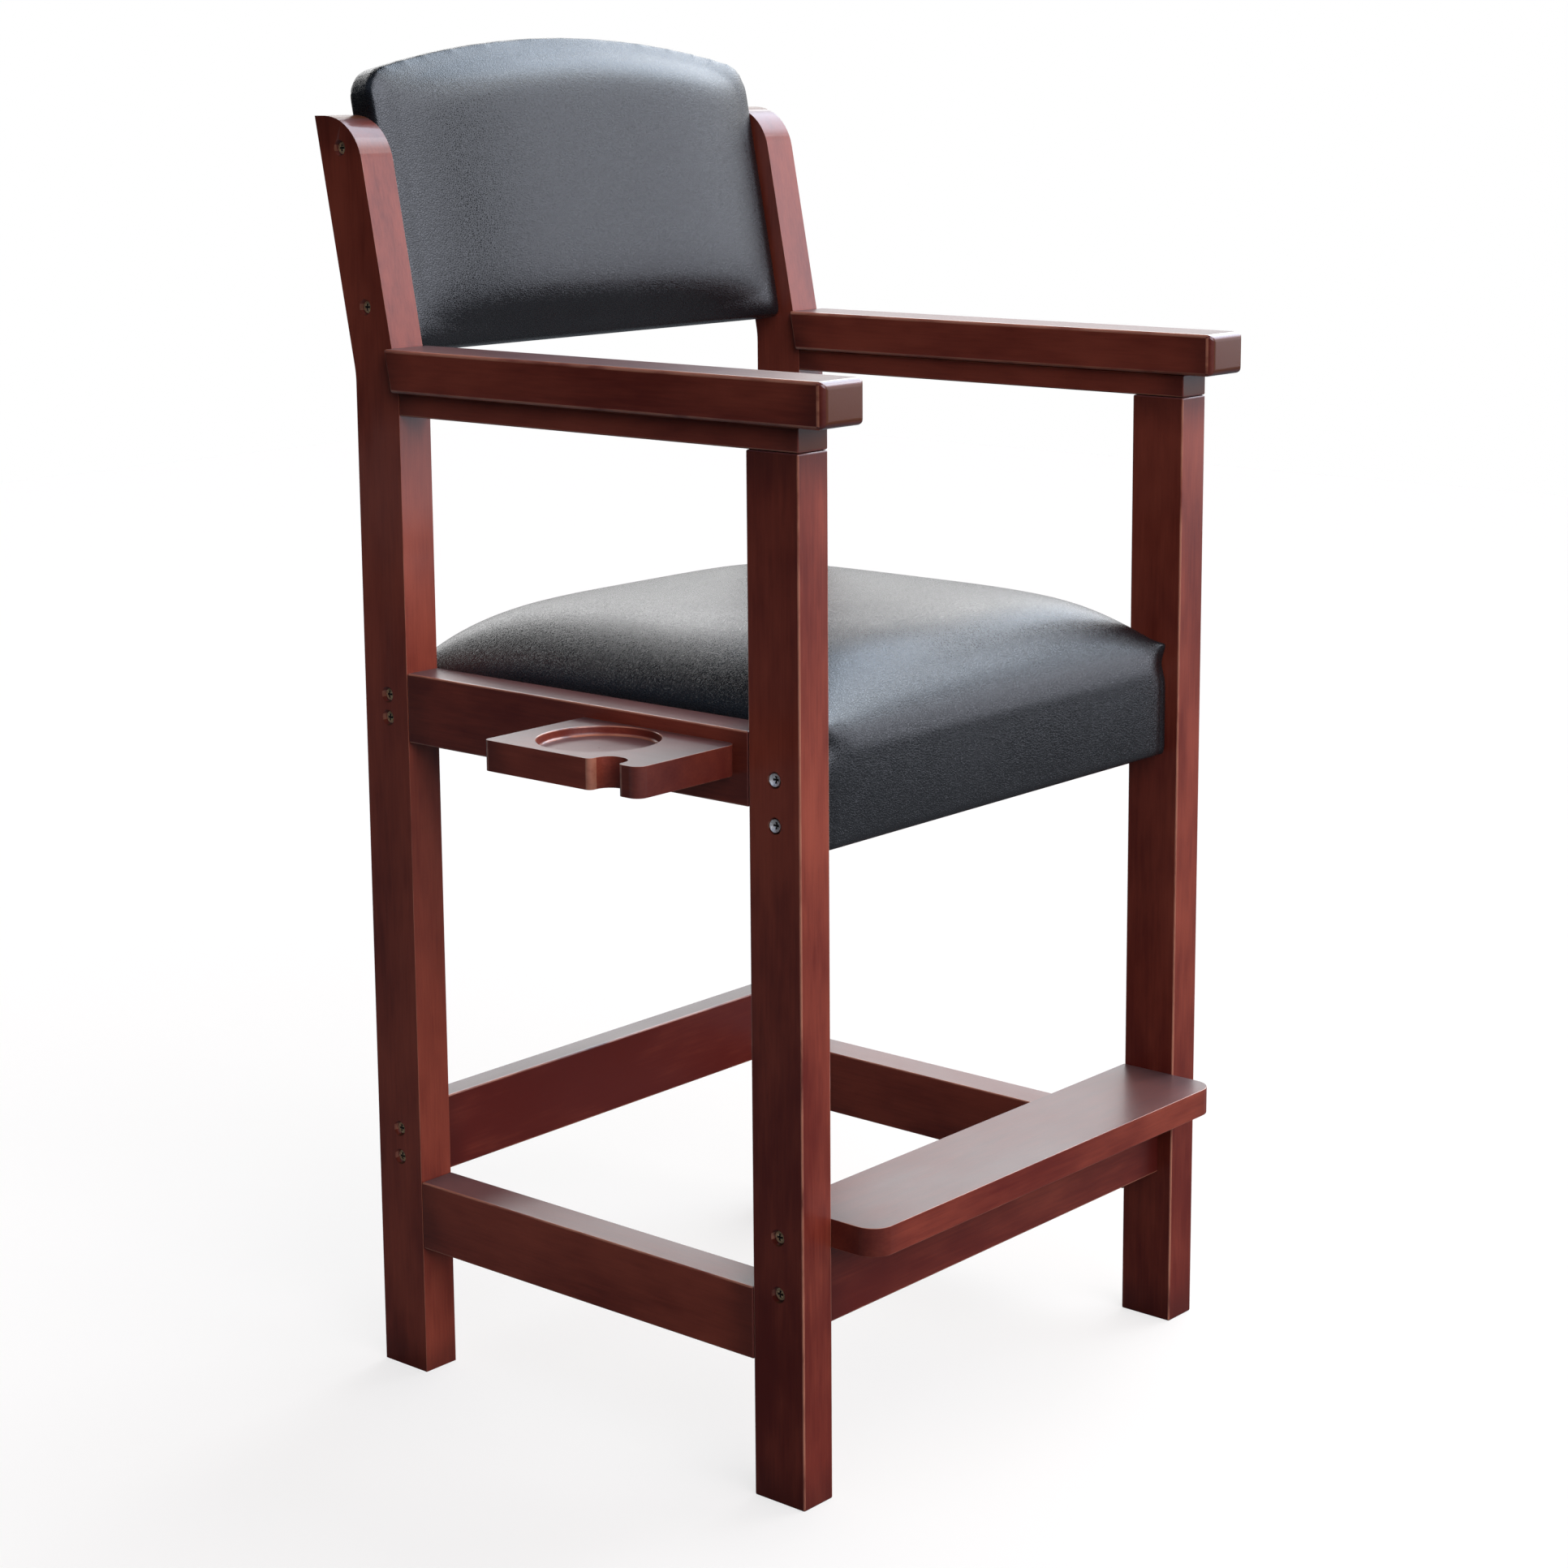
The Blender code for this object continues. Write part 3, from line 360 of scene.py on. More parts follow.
def cherry(name, axis, middle, half, shift, lighter, coat):
    """Stained wood whose grain runs along one axis of a piece with the given middle and half length."""
    material, shader, start = new_material(name)
    place = start.node("TexCoord", output="Object")
    moved = start.node("VectorMath", {0: place, 1: [shift * share for share in PIECE_SHIFT]},
                       operation="ADD")

    def grain(along, across, detail):
        """Noise that is drawn out along the grain."""
        scale = [across] * 3
        scale[axis] = along
        stretched = start.node("VectorMath", {0: moved, 1: scale}, operation="MULTIPLY")
        return start.node("TexNoise", {"Vector": stretched, "Scale": 1.0, "Detail": detail,
                                       "Roughness": NOISE_ROUGHNESS})

    def part(vector, letter):
        """One part of a vector."""
        return start.node("SeparateXYZ", {"Vector": vector}, output=letter)

    def mark(kind):
        """How far a face is of a kind that mark_faces marks."""
        return start.node("Attribute", output="Fac", attribute_name=kind)

    blotch = grain(*BLOTCH)
    figure = grain(*FIGURE)
    streak = grain(*STREAK)
    pore = grain(*PORE).step(*PORE_EDGE)
    tone = (0.5 + lighter + (blotch - NOISE_MEAN) * BLOTCH_TONE + (figure - NOISE_MEAN) * FIGURE_TONE
            + (streak - NOISE_MEAN) * STREAK_TONE)
    along = part(place, "XYZ"[axis])
    # Painted shade: pieces whose grain runs upright darken toward the floor.
    if axis == 2:
        tone = tone - (1 - along.step(0.0, FOOT_REACH)) * FOOT_SHADE
    colour = tone.step(0.0, 1.0).mix(STAIN_DARK, STAIN_LIGHT)
    from_end = half - abs(along - middle) + (blotch - NOISE_MEAN) * SOAK_WANDER
    soaked = (1 - from_end.step(0.0, SOAK_REACH)) * SOAK_SHARE + pore * PORE_SOAK
    colour = soaked.mix(colour, STAIN_SOAKED)
    # Painted shade on faces that look up: the colour is mixed toward a dark grey.
    facing_up = part(start.node("TexCoord", output="Normal"), "Z")
    colour = (facing_up.step(*FACING_UP) * (TOP_SHADE_SHARE + blotch * TOP_SHADE_BLOTCH)).mix(colour, TOP_SHADE)
    end_grain = mark("end_grain")
    colour = (end_grain * (END_SHARE + figure * END_FIGURE)).mix(colour, STAIN_END)
    colour = (mark("rubbed") * figure.step(*RUBBED_FIGURE) * RUBBED_SHARE).mix(colour, RUBBED)
    colour.feed(shader, "Base Color")
    if coat > THIN_COAT:
        coat = THIN_COAT + part(place, "Z").step(COAT_FROM, COAT_FULL) * (coat - THIN_COAT)
    ((coat + mark("rounded") * (1 - coat)) * (1 - end_grain)).feed(shader, "Coat Weight")
    roughness = WOOD_ROUGHNESS + (blotch - NOISE_MEAN) * BLOTCH_ROUGHNESS + streak * STREAK_ROUGHNESS
    roughness.feed(shader, "Roughness")
    relief = start.node("Bump", {"Height": streak * 0.6 + figure - pore * 0.8, "Strength": 0.10,
                                 "Distance": 0.0006})
    relief.feed(shader, "Normal")
    constants(shader, IOR=1.43, Coat_Roughness=0.08)
    return material


# %% [markdown]
# ## Wooden pieces
# A CAD mesh is a set of loose triangles, shaded flat. A copy of it is joined at its corners and shaded
# smooth, with normals weighted by face size, so that the flats stay flat and the eased edges catch a line
# of light. The rim of the tray's recess is sharp in the CAD, and is eased here. Attributes mark three kinds
# of faces for the finish. The narrow faces of eased edges are rubbed pale. All rounded edges carry more
# lacquer, so they gleam. Faces across the grain take a browner stain.

# %% Helpers for copies of CAD pieces
JOIN = 1e-5
FLAT = math.radians(0.4)
CREASE = math.radians(50)


def new_piece(bm, name, slot, *replaced):
    """An object for a bmesh, riding on the chair and standing for CAD nodes."""
    mesh = bpy.data.meshes.new(name)
    bm.to_mesh(mesh)
    bm.free()
    piece = bpy.data.objects.new(name, mesh)
    scene.collection.objects.link(piece)
    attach(piece, "root")
    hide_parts(*replaced)
    return piece


def joined(node):
    """A bmesh of a CAD node, with its triangles joined and its flats made whole."""
    bm = bmesh.new()
    bm.from_mesh(nodes[node].data)
    bmesh.ops.remove_doubles(bm, verts=bm.verts, dist=JOIN)
    bmesh.ops.dissolve_limit(bm, angle_limit=FLAT, verts=bm.verts, edges=bm.edges)
    return bm


def shade(piece, crease=CREASE):
    """Smooth shading with creases at sharp edges, and flats kept flat."""
    piece.data.shade_smooth()
    piece.data.set_sharp_from_angle(angle=crease)
    flat = piece.modifiers.new("flat_faces", "WEIGHTED_NORMAL")
    flat.keep_sharp = True


def finish_all(piece, material):
    """Give a piece one finish all over."""
    piece.data.materials.clear()
    piece.data.materials.append(material)


# %% Rim of the tray's recess
CUP_RADIUS = 0.0515         # the recess and its place in the tray, as in the CAD
CUP_DEPTH = 0.008
CUP_RAIL_MARGIN = 0.0045
CUP_REAR_MARGIN = 0.020
RIM_EASE = 0.0011
ON_CIRCLE = 2e-4            # how close to the circle, and to the top, the rim's points are
ON_TOP = 1e-4

tray_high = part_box("cup_tray")[1]
cup_middle = tray_high - Vector((CUP_RAIL_MARGIN + CUP_RADIUS, CUP_REAR_MARGIN + CUP_RADIUS, CUP_DEPTH))


def soften_rim(bm):
    """Ease the rim of the tray's recess, a circle of edges in its top."""
    rim = [edge for edge in bm.edges
           if all(abs((vert.co - cup_middle).xy.length - CUP_RADIUS) < ON_CIRCLE
                  and abs(vert.co.z - tray_high.z) < ON_TOP for vert in edge.verts)]
    bmesh.ops.bevel(bm, geom=rim, offset=RIM_EASE, affect="EDGES", segments=2, profile=0.5, material=-1)
    print("rim of", len(rim), "edges eased")


print("recess around", [round(c, 4) for c in cup_middle])

# %% Marks for the finish
RUBBED_WIDTH = 0.0025       # faces narrower than this are rubbed edges
ROUND_WIDTH = 0.0030        # faces narrower than this are part of a rounding
ALONG_LEAN = 0.3            # edges along the grain have normals that lean less than this
END_LEAN = 0.95             # faces across the grain have normals that lean more than this
WALL_LEAN = 0.3             # walls of the recess have normals that rise less than this


def mark_faces(piece, axis, handled):
    """Mark the corners of rubbed edges, roundings and end grain. Handled pieces are rubbed on all edges,
    and their ends are as smooth as the rest."""
    mesh = piece.data
    names = ("rubbed", "rounded", "end_grain")
    for name in names:
        mesh.attributes.new(name, "FLOAT", "CORNER")
    marks = [mesh.attributes[name] for name in names]
    for face in mesh.polygons:
        outline = sum((mesh.vertices[a].co - mesh.vertices[b].co).length for a, b in face.edge_keys)
        width = 2 * face.area / max(outline, 1e-9)
        lean = abs(face.normal[axis])
        in_recess = ((face.center - cup_middle).length < CUP_RADIUS + CUP_DEPTH
                     and abs(face.normal.z) < WALL_LEAN and piece.name.startswith("cup_tray"))
        levels = (width < RUBBED_WIDTH and (handled or lean < ALONG_LEAN) and not in_recess,
                  width < ROUND_WIDTH and not in_recess,
                  lean > END_LEAN and not handled)
        for mark, level in zip(marks, levels):
            for loop in face.loop_indices:
                mark.data[loop].value = float(level)


# %% Finished copies of the wood
SHIFT_PER_PIECE = 1.37      # so that no two pieces share their blotches

wood = [name for name in nodes if name.startswith((
    "rear_post", "front_leg", "side_stretcher", "seat_side_rail", "arm_rail", "armrest", "rear_stretcher",
    "front_stretcher", "footrest", "cup_tray"))]
for number, name in enumerate(sorted(wood)):
    bm = joined(name)
    if name == "cup_tray":
        soften_rim(bm)
    piece = new_piece(bm, name + "_finished", "cherry_wood", name)
    shade(piece)
    low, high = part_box(name)
    size = high - low
    axis = max(range(3), key=lambda i: size[i])
    mark_faces(piece, axis, name.startswith(("cup_tray", "footrest")))
    # The tone is partly the wood's own and partly painted light and shade.
    lighter = sum(tone for kind, tone in TONES_AND_SHADE.items() if name.startswith(kind))
    coat = max([THIN_COAT] + [level for kind, level in COATS.items() if name.startswith(kind)])
    finish_all(piece, cherry("cherry_" + name, axis, (low[axis] + high[axis]) / 2, size[axis] / 2,
                             SHIFT_PER_PIECE * number, lighter, coat))
print(len(wood), "wooden pieces finished")

# %% [markdown]
# ## Screws
# The frame screws sit at the bottom of counterbores, so only a round head with a cross recess shows. A
# turned head would leave no faces for the cross. So the head starts as a small grid, whose middle faces are
# pushed in as the cross, and the grid's outline is rounded to a circle and drawn down into the shank. Most
# heads are domed and plated yellow. Those at the seat's front are dished and bright, and lie closer to the
# surface, so that one side of each dish catches the light.

# %% Zinc finish
SPOT_SCALE = 700.0          # spots to the metre
SPOT_EDGE = (0.35, 0.65)
ZINC_ROUGHNESS = 0.34
SPOT_ROUGHNESS = 0.25


def plated(name, dull, bright, metal):
    """Plating, or painted shade in a cross recess, with spots of two tones."""
    material, shader, start = new_material(name)
    place = start.node("TexCoord", output="Object")
    spot = start.node("TexNoise", {"Vector": place, "Scale": SPOT_SCALE, "Detail": 3.0})
    spot.step(*SPOT_EDGE).mix(dull, bright).feed(shader, "Base Color")
    (ZINC_ROUGHNESS + spot * SPOT_ROUGHNESS).feed(shader, "Roughness")
    constants(shader, Metallic=metal)
    return material


yellow_zinc = plated("yellow_zinc", (0.62, 0.38, 0.18, 1), (0.95, 0.74, 0.44, 1), 0.4)
clear_zinc = plated("clear_zinc", (0.76, 0.72, 0.68, 1), (0.98, 0.97, 0.95, 1), 0.75)
# Painted shade: the floor of each cross recess gets a near-black finish.
cross_shade = plated("shade_in_cross", (0.020, 0.012, 0.009, 1), (0.045, 0.030, 0.022, 1), 0.0)
print("finishes for screws:", yellow_zinc.name, clear_zinc.name, cross_shade.name)

# %% A screw with a cross recess
SHANK_SHARE = 0.52          # shank's radius against the head's
TIP_SHARE = 0.05            # tip's radius against the shank's
CROSS_REACH = 0.6           # the cross, against the head's radius
CROSS_HALF_WIDTH = 0.1
CROSS_TAPER = 0.8
CROSS_DEPTH = 0.0022
HEAD_CREASE = math.radians(38)


def cross_head(node, out, thickness, crown, rise):
    """A screw with a cross recess, in place of a plain CAD screw whose head looks along out."""
    low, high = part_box(node)
    size = high - low
    axis = max(range(3), key=lambda i: abs(out[i]))
    radius = min(size) / 2
    length = size[axis]
    bm = bmesh.new()
    bmesh.ops.create_grid(bm, x_segments=5, y_segments=5, size=1)
    for vert in bm.verts:
        x, y, _ = vert.co
        if x or y:
            vert.co *= max(abs(x), abs(y)) / math.hypot(x, y)
        vert.co *= radius
        vert.co.z = rise - crown * (vert.co.xy.length / radius) ** 2
    cross = [face for face in bm.faces
             if face.calc_center_median().xy.length < radius * CROSS_REACH
             and min(map(abs, face.calc_center_median().xy)) < radius * CROSS_HALF_WIDTH]
    loop = [edge for edge in bm.edges if edge.is_boundary]
    pushed = bmesh.ops.extrude_face_region(bm, geom=cross)["geom"]
    bmesh.ops.delete(bm, geom=cross, context="FACES_ONLY")
    floor_verts = [v for v in pushed if isinstance(v, bmesh.types.BMVert)]
    bmesh.ops.translate(bm, verts=floor_verts, vec=(0, 0, -CROSS_DEPTH))
    bmesh.ops.scale(bm, verts=floor_verts, vec=(CROSS_TAPER, CROSS_TAPER, 1))
    for face in {face for vert in floor_verts for face in vert.link_faces}:
        # The cross's floor takes the second finish, which is painted shade.
        face.material_index = 1
    for share, drop in ((1, thickness + rise - crown), (SHANK_SHARE, 0), (1, length - thickness - radius),
                        (TIP_SHARE, radius)):
        drawn = bmesh.ops.extrude_edge_only(bm, edges=loop)["geom"]
        ring = [v for v in drawn if isinstance(v, bmesh.types.BMVert)]
        loop = [e for e in drawn if isinstance(e, bmesh.types.BMEdge)]
        bmesh.ops.scale(bm, verts=ring, vec=(share, share, 1))
        bmesh.ops.translate(bm, verts=ring, vec=(0, 0, -drop))
    bmesh.ops.holes_fill(bm, edges=loop)
    bmesh.ops.recalc_face_normals(bm, faces=bm.faces)
    middle = (low + high) / 2
    middle[axis] = high[axis] if out[axis] > 0 else low[axis]
    turn = Vector(out).to_track_quat("Z", "Y").to_matrix().to_4x4()
    bmesh.ops.transform(bm, matrix=Matrix.Translation(middle) @ turn, verts=bm.verts)
    piece = new_piece(bm, node + "_head", "zinc_steel", node)
    piece.data.materials.append(clear_zinc if "seat_front" in node else yellow_zinc)
    piece.data.materials.append(cross_shade)
    shade(piece, HEAD_CREASE)


# %% All the screws
HEAD_THICKNESS = {"screw": 0.0035, "arm_screw": 0.0025, "tray_screw": 0.0025}
DOMED = (0.0010, 0.0020)    # crown, and how much higher than the plain CAD head its middle stands
DISHED = (-0.0028, 0.0016)
SMALL_DOMED = (0.0010, 0)

screws = [name for name in nodes if "screw" in name]
for name in screws:
    kind = name[:name.index("screw") + len("screw")]
    if kind == "screw":
        out = (1, 0, 0) if "left" in name else (-1, 0, 0)
        form = DISHED if "seat_front" in name else DOMED
    else:
        out = (0, 0, -1) if kind == "arm_screw" else (1, 0, 0)
        form = SMALL_DOMED
    cross_head(name, out, HEAD_THICKNESS[kind], *form)
print(len(screws), "screws given cross heads")

# %% [markdown]
# ## Black vinyl
# The seat and the back are covered in black vinyl with a fine embossed leather grain. Seen flat on it is
# nearly black. At a low angle it shows a soft grey sheen, because its gloss is broad. The grain is too fine
# to model. It is a bump of small cells with wandering borders, over a slow change of tone and gloss.

# %% Vinyl finish
CELL_SCALE = 520.0          # grain cells to the metre
CELL_BORDER = (0.0, 0.22)
WANDER_SCALE = 260.0
WANDER = 0.003
WORN_SCALE = 14.0
WORN_EDGE = (0.3, 0.7)
FINE_SCALE = 1500.0
FINE_RELIEF = 0.25
VINYL_ROUGHNESS = 0.24
WORN_ROUGHNESS = 0.12
BORDER_ROUGHNESS = 0.06
VINYL_DEEP = (0.0070, 0.0072, 0.0082, 1)
VINYL_WORN = (0.0100, 0.0102, 0.0112, 1)

vinyl, shader, start = new_material("embossed_black_vinyl")
place = start.node("TexCoord", output="Object")
wander = start.node("TexNoise", {"Vector": place, "Scale": WANDER_SCALE, "Detail": 2.0}, output="Color")
bent = start.node("VectorMath", {0: wander, "Scale": WANDER}, operation="SCALE")
bent = start.node("VectorMath", {0: bent, 1: place}, operation="ADD")
cells = start.node("TexVoronoi", {"Vector": bent, "Scale": CELL_SCALE}, feature="DISTANCE_TO_EDGE")
pebble = cells.step(*CELL_BORDER)
worn = start.node("TexNoise", {"Vector": place, "Scale": WORN_SCALE, "Detail": 4.0})
fine = start.node("TexNoise", {"Vector": place, "Scale": FINE_SCALE, "Detail": 2.0})
worn.step(*WORN_EDGE).mix(VINYL_DEEP, VINYL_WORN).feed(shader, "Base Color")
roughness = VINYL_ROUGHNESS + (worn - NOISE_MEAN) * WORN_ROUGHNESS + (1 - pebble) * BORDER_ROUGHNESS
roughness.feed(shader, "Roughness")
relief = start.node("Bump", {"Height": pebble + fine * FINE_RELIEF, "Strength": 0.32,
                             "Distance": 0.0004})
relief.feed(shader, "Normal")
constants(shader, IOR=1.66)
print("vinyl with cells of", round(1000 / CELL_SCALE, 1), "mm")

# %% [markdown]
# ## Making a cushion
# Foam under tight vinyl swells between the places where it is held. Subdivision alone would round a form
# everywhere alike. So each cushion starts as a plain form, slightly low, is given an even mesh, and is
# blown up a little as cloth with the held parts pinned. Its movement is capped, so it stays the size that
# the CAD gives. The wood that it wraps is then cut out of it.

# %% Helpers for an even skin
EVEN_PASSES = 2


def settle(piece):
    """Make the result of a piece's modifiers its own mesh."""
    graph = bpy.context.evaluated_depsgraph_get()
    mesh = bpy.data.meshes.new_from_object(piece.evaluated_get(graph))
    piece.modifiers.clear()
    piece.data = mesh


def smooth_skin(piece, passes, group=""):
    """Even out a skin, in a group of its points or all over."""
    smooth = piece.modifiers.new("smooth", "SMOOTH")
    smooth.factor = 0.5
    smooth.iterations = passes
    smooth.vertex_group = group
    settle(piece)


def fit(piece, form, group=""):
    """Set a skin's points, in a group or all over, on the nearest places of a form."""
    target = bpy.data.objects.new("form", form)
    scene.collection.objects.link(target)
    wrap = piece.modifiers.new("fit", "SHRINKWRAP")
    wrap.target = target
    wrap.vertex_group = group
    settle(piece)
    bpy.data.objects.remove(target)


def even_mesh(piece, voxel):
    """Remesh with even cells, whose points are set back on the form that was remeshed. Gives that form."""
    form = piece.data.copy()
    remesh = piece.modifiers.new("even_mesh", "REMESH")
    remesh.mode = "VOXEL"
    remesh.voxel_size = voxel
    smooth_skin(piece, EVEN_PASSES)
    fit(piece, form)
    return form


def refine(piece):
    """One level of subdivision."""
    finer = piece.modifiers.new("finer", "SUBSURF")
    finer.levels = finer.render_levels = 1
    settle(piece)


# %% Helpers for swelling
SWELL_FRAMES = 20
SWELL_PRESSURE = 4.0
SWELL_QUALITY = 6
SWELL_SHRINK = 0.03         # vinyl cut this much small, so that it is taut
SKIN_PASSES = 30


def blown_up(piece):
    """Where pressure moves a cushion's points, as cloth pinned at its held ones."""
    cloth = piece.modifiers.new("swell", "CLOTH")
    cloth.settings.vertex_group_mass = "held"
    cloth.settings.use_pressure = True
    cloth.settings.uniform_pressure_force = SWELL_PRESSURE
    cloth.settings.effector_weights.gravity = 0
    cloth.settings.quality = SWELL_QUALITY
    cloth.settings.shrink_min = SWELL_SHRINK
    cloth.point_cache.frame_start = 1
    cloth.point_cache.frame_end = SWELL_FRAMES
    for number in range(1, SWELL_FRAMES + 1):
        scene.frame_set(number)
    graph = bpy.context.evaluated_depsgraph_get()
    places = [vert.co.copy() for vert in piece.evaluated_get(graph).data.vertices]
    piece.modifiers.clear()
    scene.frame_set(1)
    return places


def swell(piece, is_held, cap):
    """Blow a closed cushion up as cloth, with held points pinned and every move capped, and smooth it."""
    points = [vert.co.copy() for vert in piece.data.vertices]
    held = [index for index, point in enumerate(points) if is_held(point)]
    free = sorted(set(range(len(points))) - set(held))
    piece.vertex_groups.new(name="held").add(held, 1.0, "REPLACE")
    piece.vertex_groups.new(name="free").add(free, 1.0, "REPLACE")
    for vert, before, after in zip(piece.data.vertices, points, blown_up(piece)):
        move = after - before
        vert.co = before + move * min(1, cap / max(move.length, 1e-9))
    smooth_skin(piece, SKIN_PASSES, "free")
    piece.vertex_groups.clear()
    print(piece.name, "swelled:", len(held), "points held,", len(free), "free")


# %% Helpers for cutting out and covering
def carve(piece, cutters):
    """Cut other shapes out of a piece, then remove them."""
    for cutter in cutters:
        hollow = piece.modifiers.new("hollow", "BOOLEAN")
        hollow.operation = "DIFFERENCE"
        hollow.object = cutter
    settle(piece)
    for cutter in cutters:
        bpy.data.objects.remove(cutter)


def cutter_of(bm, name):
    """A plain object to cut with."""
    mesh = bpy.data.meshes.new(name)
    bm.to_mesh(mesh)
    bm.free()
    cutter = bpy.data.objects.new(name, mesh)
    scene.collection.objects.link(cutter)
    return cutter


def box_between(low, high, name):
    """A box cutter between two corners."""
    bm = bmesh.new()
    bmesh.ops.create_cube(bm, size=1)
    bmesh.ops.scale(bm, vec=[b - a for a, b in zip(low, high)], verts=bm.verts)
    bmesh.ops.translate(bm, vec=[(a + b) / 2 for a, b in zip(low, high)], verts=bm.verts)
    return cutter_of(bm, name)


def cover(piece):
    """Cover a cushion in vinyl, smooth but for its cut edges."""
    finish_all(piece, vinyl)
    piece.data.shade_smooth()
    piece.data.set_sharp_from_angle(angle=CREASE)
    print(piece.name, len(piece.data.polygons), "faces")


# %% [markdown]
# ## Drill mark
# The point of the bit that cut the tray's recess left a small hollow in the middle of its floor. A short
# cone is cut out of the tray for it.

# %% Drill mark in the middle of the tray's recess
MARK_RADIUS = 0.0014
MARK_DEPTH = 0.0012

bm = bmesh.new()
bmesh.ops.create_cone(bm, cap_ends=True, segments=16, radius1=MARK_RADIUS / 4, radius2=MARK_RADIUS,
                      depth=2 * MARK_DEPTH, matrix=Matrix.Translation(cup_middle))
tray = bpy.data.objects["cup_tray_finished"]
tray.modifiers.clear()
carve(tray, [cutter_of(bm, "drill")])
shade(tray)
print("tray", len(tray.data.polygons), "faces")

# %% [markdown]
# ## Seat
# The seat is a box cushion: its sides go straight down between the rails, its top is a broad dome that
# rolls over at the front, and its front covers the board below the rails. A cube is cut into a grid, its
# top is raised as the dome, and then it swells, held at the rails.

# %% Seat's plain form
GAP = 0.0003                # between pieces that touch
SEAT_CELL = 0.006
SEAT_CUTS = (47, 47, 9)
SEAT_ACROSS = (4.6, 0.62)   # powers of the dome: flatness of its middle, then roundness of its edge
SEAT_ALONG = (4.5, 0.42)
SEAT_START = 0.93           # crown before it swells

seat_low, seat_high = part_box("seat_cushion")
rail_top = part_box("seat_side_rail_right")[1].z
seat_crown = seat_high.z - rail_top
seat_middle = (seat_low + seat_high) / 2
seat_half = (seat_high - seat_low) / 2


def dome(share, flat, rounding):
    """Height of a dome, 1 in the middle and 0 at its edge, where share is 1."""
    return max(0, 1 - abs(share) ** flat) ** rounding


bm = bmesh.new()
bmesh.ops.create_cube(bm, size=2)
for axis, cuts in enumerate(SEAT_CUTS):
    along = [edge for edge in bm.edges if abs(edge.verts[0].co[axis] - edge.verts[1].co[axis]) > 1e-6]
    bmesh.ops.subdivide_edges(bm, edges=along, cuts=cuts, use_grid_fill=True)
for vert in bm.verts:
    across = math.sin(vert.co.x * math.pi / 2)
    along = math.sin(vert.co.y * math.pi / 2)
    level = (vert.co.z + 1) / 2
    height = seat_low.z + level * (rail_top - seat_low.z)
    if level > 1 - 1e-6:
        height += SEAT_START * seat_crown * dome(across, *SEAT_ACROSS) * dome(along, *SEAT_ALONG)
    vert.co = (seat_middle.x + across * seat_half.x, seat_middle.y + along * seat_half.y, height)
seat = new_piece(bm, "seat_upholstery", "black_vinyl", "seat_cushion")
even_mesh(seat, SEAT_CELL)
print("seat's form crowned by", round(seat_crown * 1000, 1), "mm")

# %% Seat's swell
SEAT_CAP = 0.003
FRONT_BULGE_AT = 0.74       # share of the front's height where it swells most
FRONT_DEPTH = 0.03          # points this near count as the front, but for strips at its sides
FRONT_STRIP = 0.012
HELD_OVER_RAIL = 0.003

bulge_z = seat_low.z + FRONT_BULGE_AT * (rail_top - seat_low.z)


def seat_held(point):
    """The sides and the back are held up to the rails' top, and the front only low down."""
    at_front = (point.y < seat_low.y + FRONT_DEPTH
                and abs(point.x - seat_middle.x) < seat_half.x - FRONT_STRIP)
    return point.z < (bulge_z if at_front else rail_top + HELD_OVER_RAIL)


swell(seat, seat_held, SEAT_CAP)
refine(seat)

# %% [markdown]
# ## Seat's front and corners
# The front swells out low down and leans back above that. At the front corners the vinyl is tucked, which
# leaves a small ear at the top, a pinch under it and a crease beside it. They are hardly wider than the
# cells that were blown up, so they are added to the finer skin as smooth bumps.

# %% Seat's crown, front and corners
FRONT_BULGE = 0.0045        # how far the front swells
FRONT_ROLL = 0.0018         # how far the front leans back by the rail's top
FRONT_ROLL_REACH = 0.090    # how far behind the front the top follows it
FRONT_ROLL_FADE = 0.025     # distance from the sides where it fades
TUCK_REACH = 0.020          # how far behind the front a tuck fades
EAR = 0.0030                # how far a tuck stands out, how high it lies, and its spread up and across
EAR_OVER_RAIL = 0.006
EAR_SPREAD = (0.007, 0.014)
PINCH = 0.0045              # the same for where it is drawn in below
PINCH_OVER_RAIL = -0.017
PINCH_SPREAD = (0.012, 0.022)
TUCK_CREASE = 0.0012        # the crease, its distance from the side and its spread
TUCK_CREASE_ASIDE = 0.012
TUCK_CREASE_SPREAD = 0.004

roll_span = (rail_top - bulge_z) / math.sqrt(1 + FRONT_ROLL / FRONT_BULGE)


def bell(distance, width):
    """A smooth bump, 1 in the middle."""
    return math.exp(-(distance / width) ** 2)


def front_lean(z):
    """How far the seat's front lies behind its plane at a height: a swell low down and a roll above it."""
    if z < bulge_z:
        return -FRONT_BULGE * max(0, 1 - ((z - bulge_z) / (bulge_z - seat_low.z)) ** 2)
    top = min(z, rail_top)
    lean = FRONT_BULGE * (((top - bulge_z) / roll_span) ** 2 - 1)
    return lean + (z - top) * 2 * FRONT_BULGE * (rail_top - bulge_z) / roll_span ** 2


def tuck(over_rail, from_side):
    """How far a tucked corner is drawn in."""
    ear_up, ear_across = EAR_SPREAD
    pinch_up, pinch_across = PINCH_SPREAD
    ear = EAR * bell(over_rail - EAR_OVER_RAIL, ear_up) * bell(from_side, ear_across)
    pinch = PINCH * bell(over_rail - PINCH_OVER_RAIL, pinch_up) * bell(from_side, pinch_across)
    crease = TUCK_CREASE * bell(from_side - TUCK_CREASE_ASIDE, TUCK_CREASE_SPREAD) * (over_rail < 0)
    return pinch + crease - ear


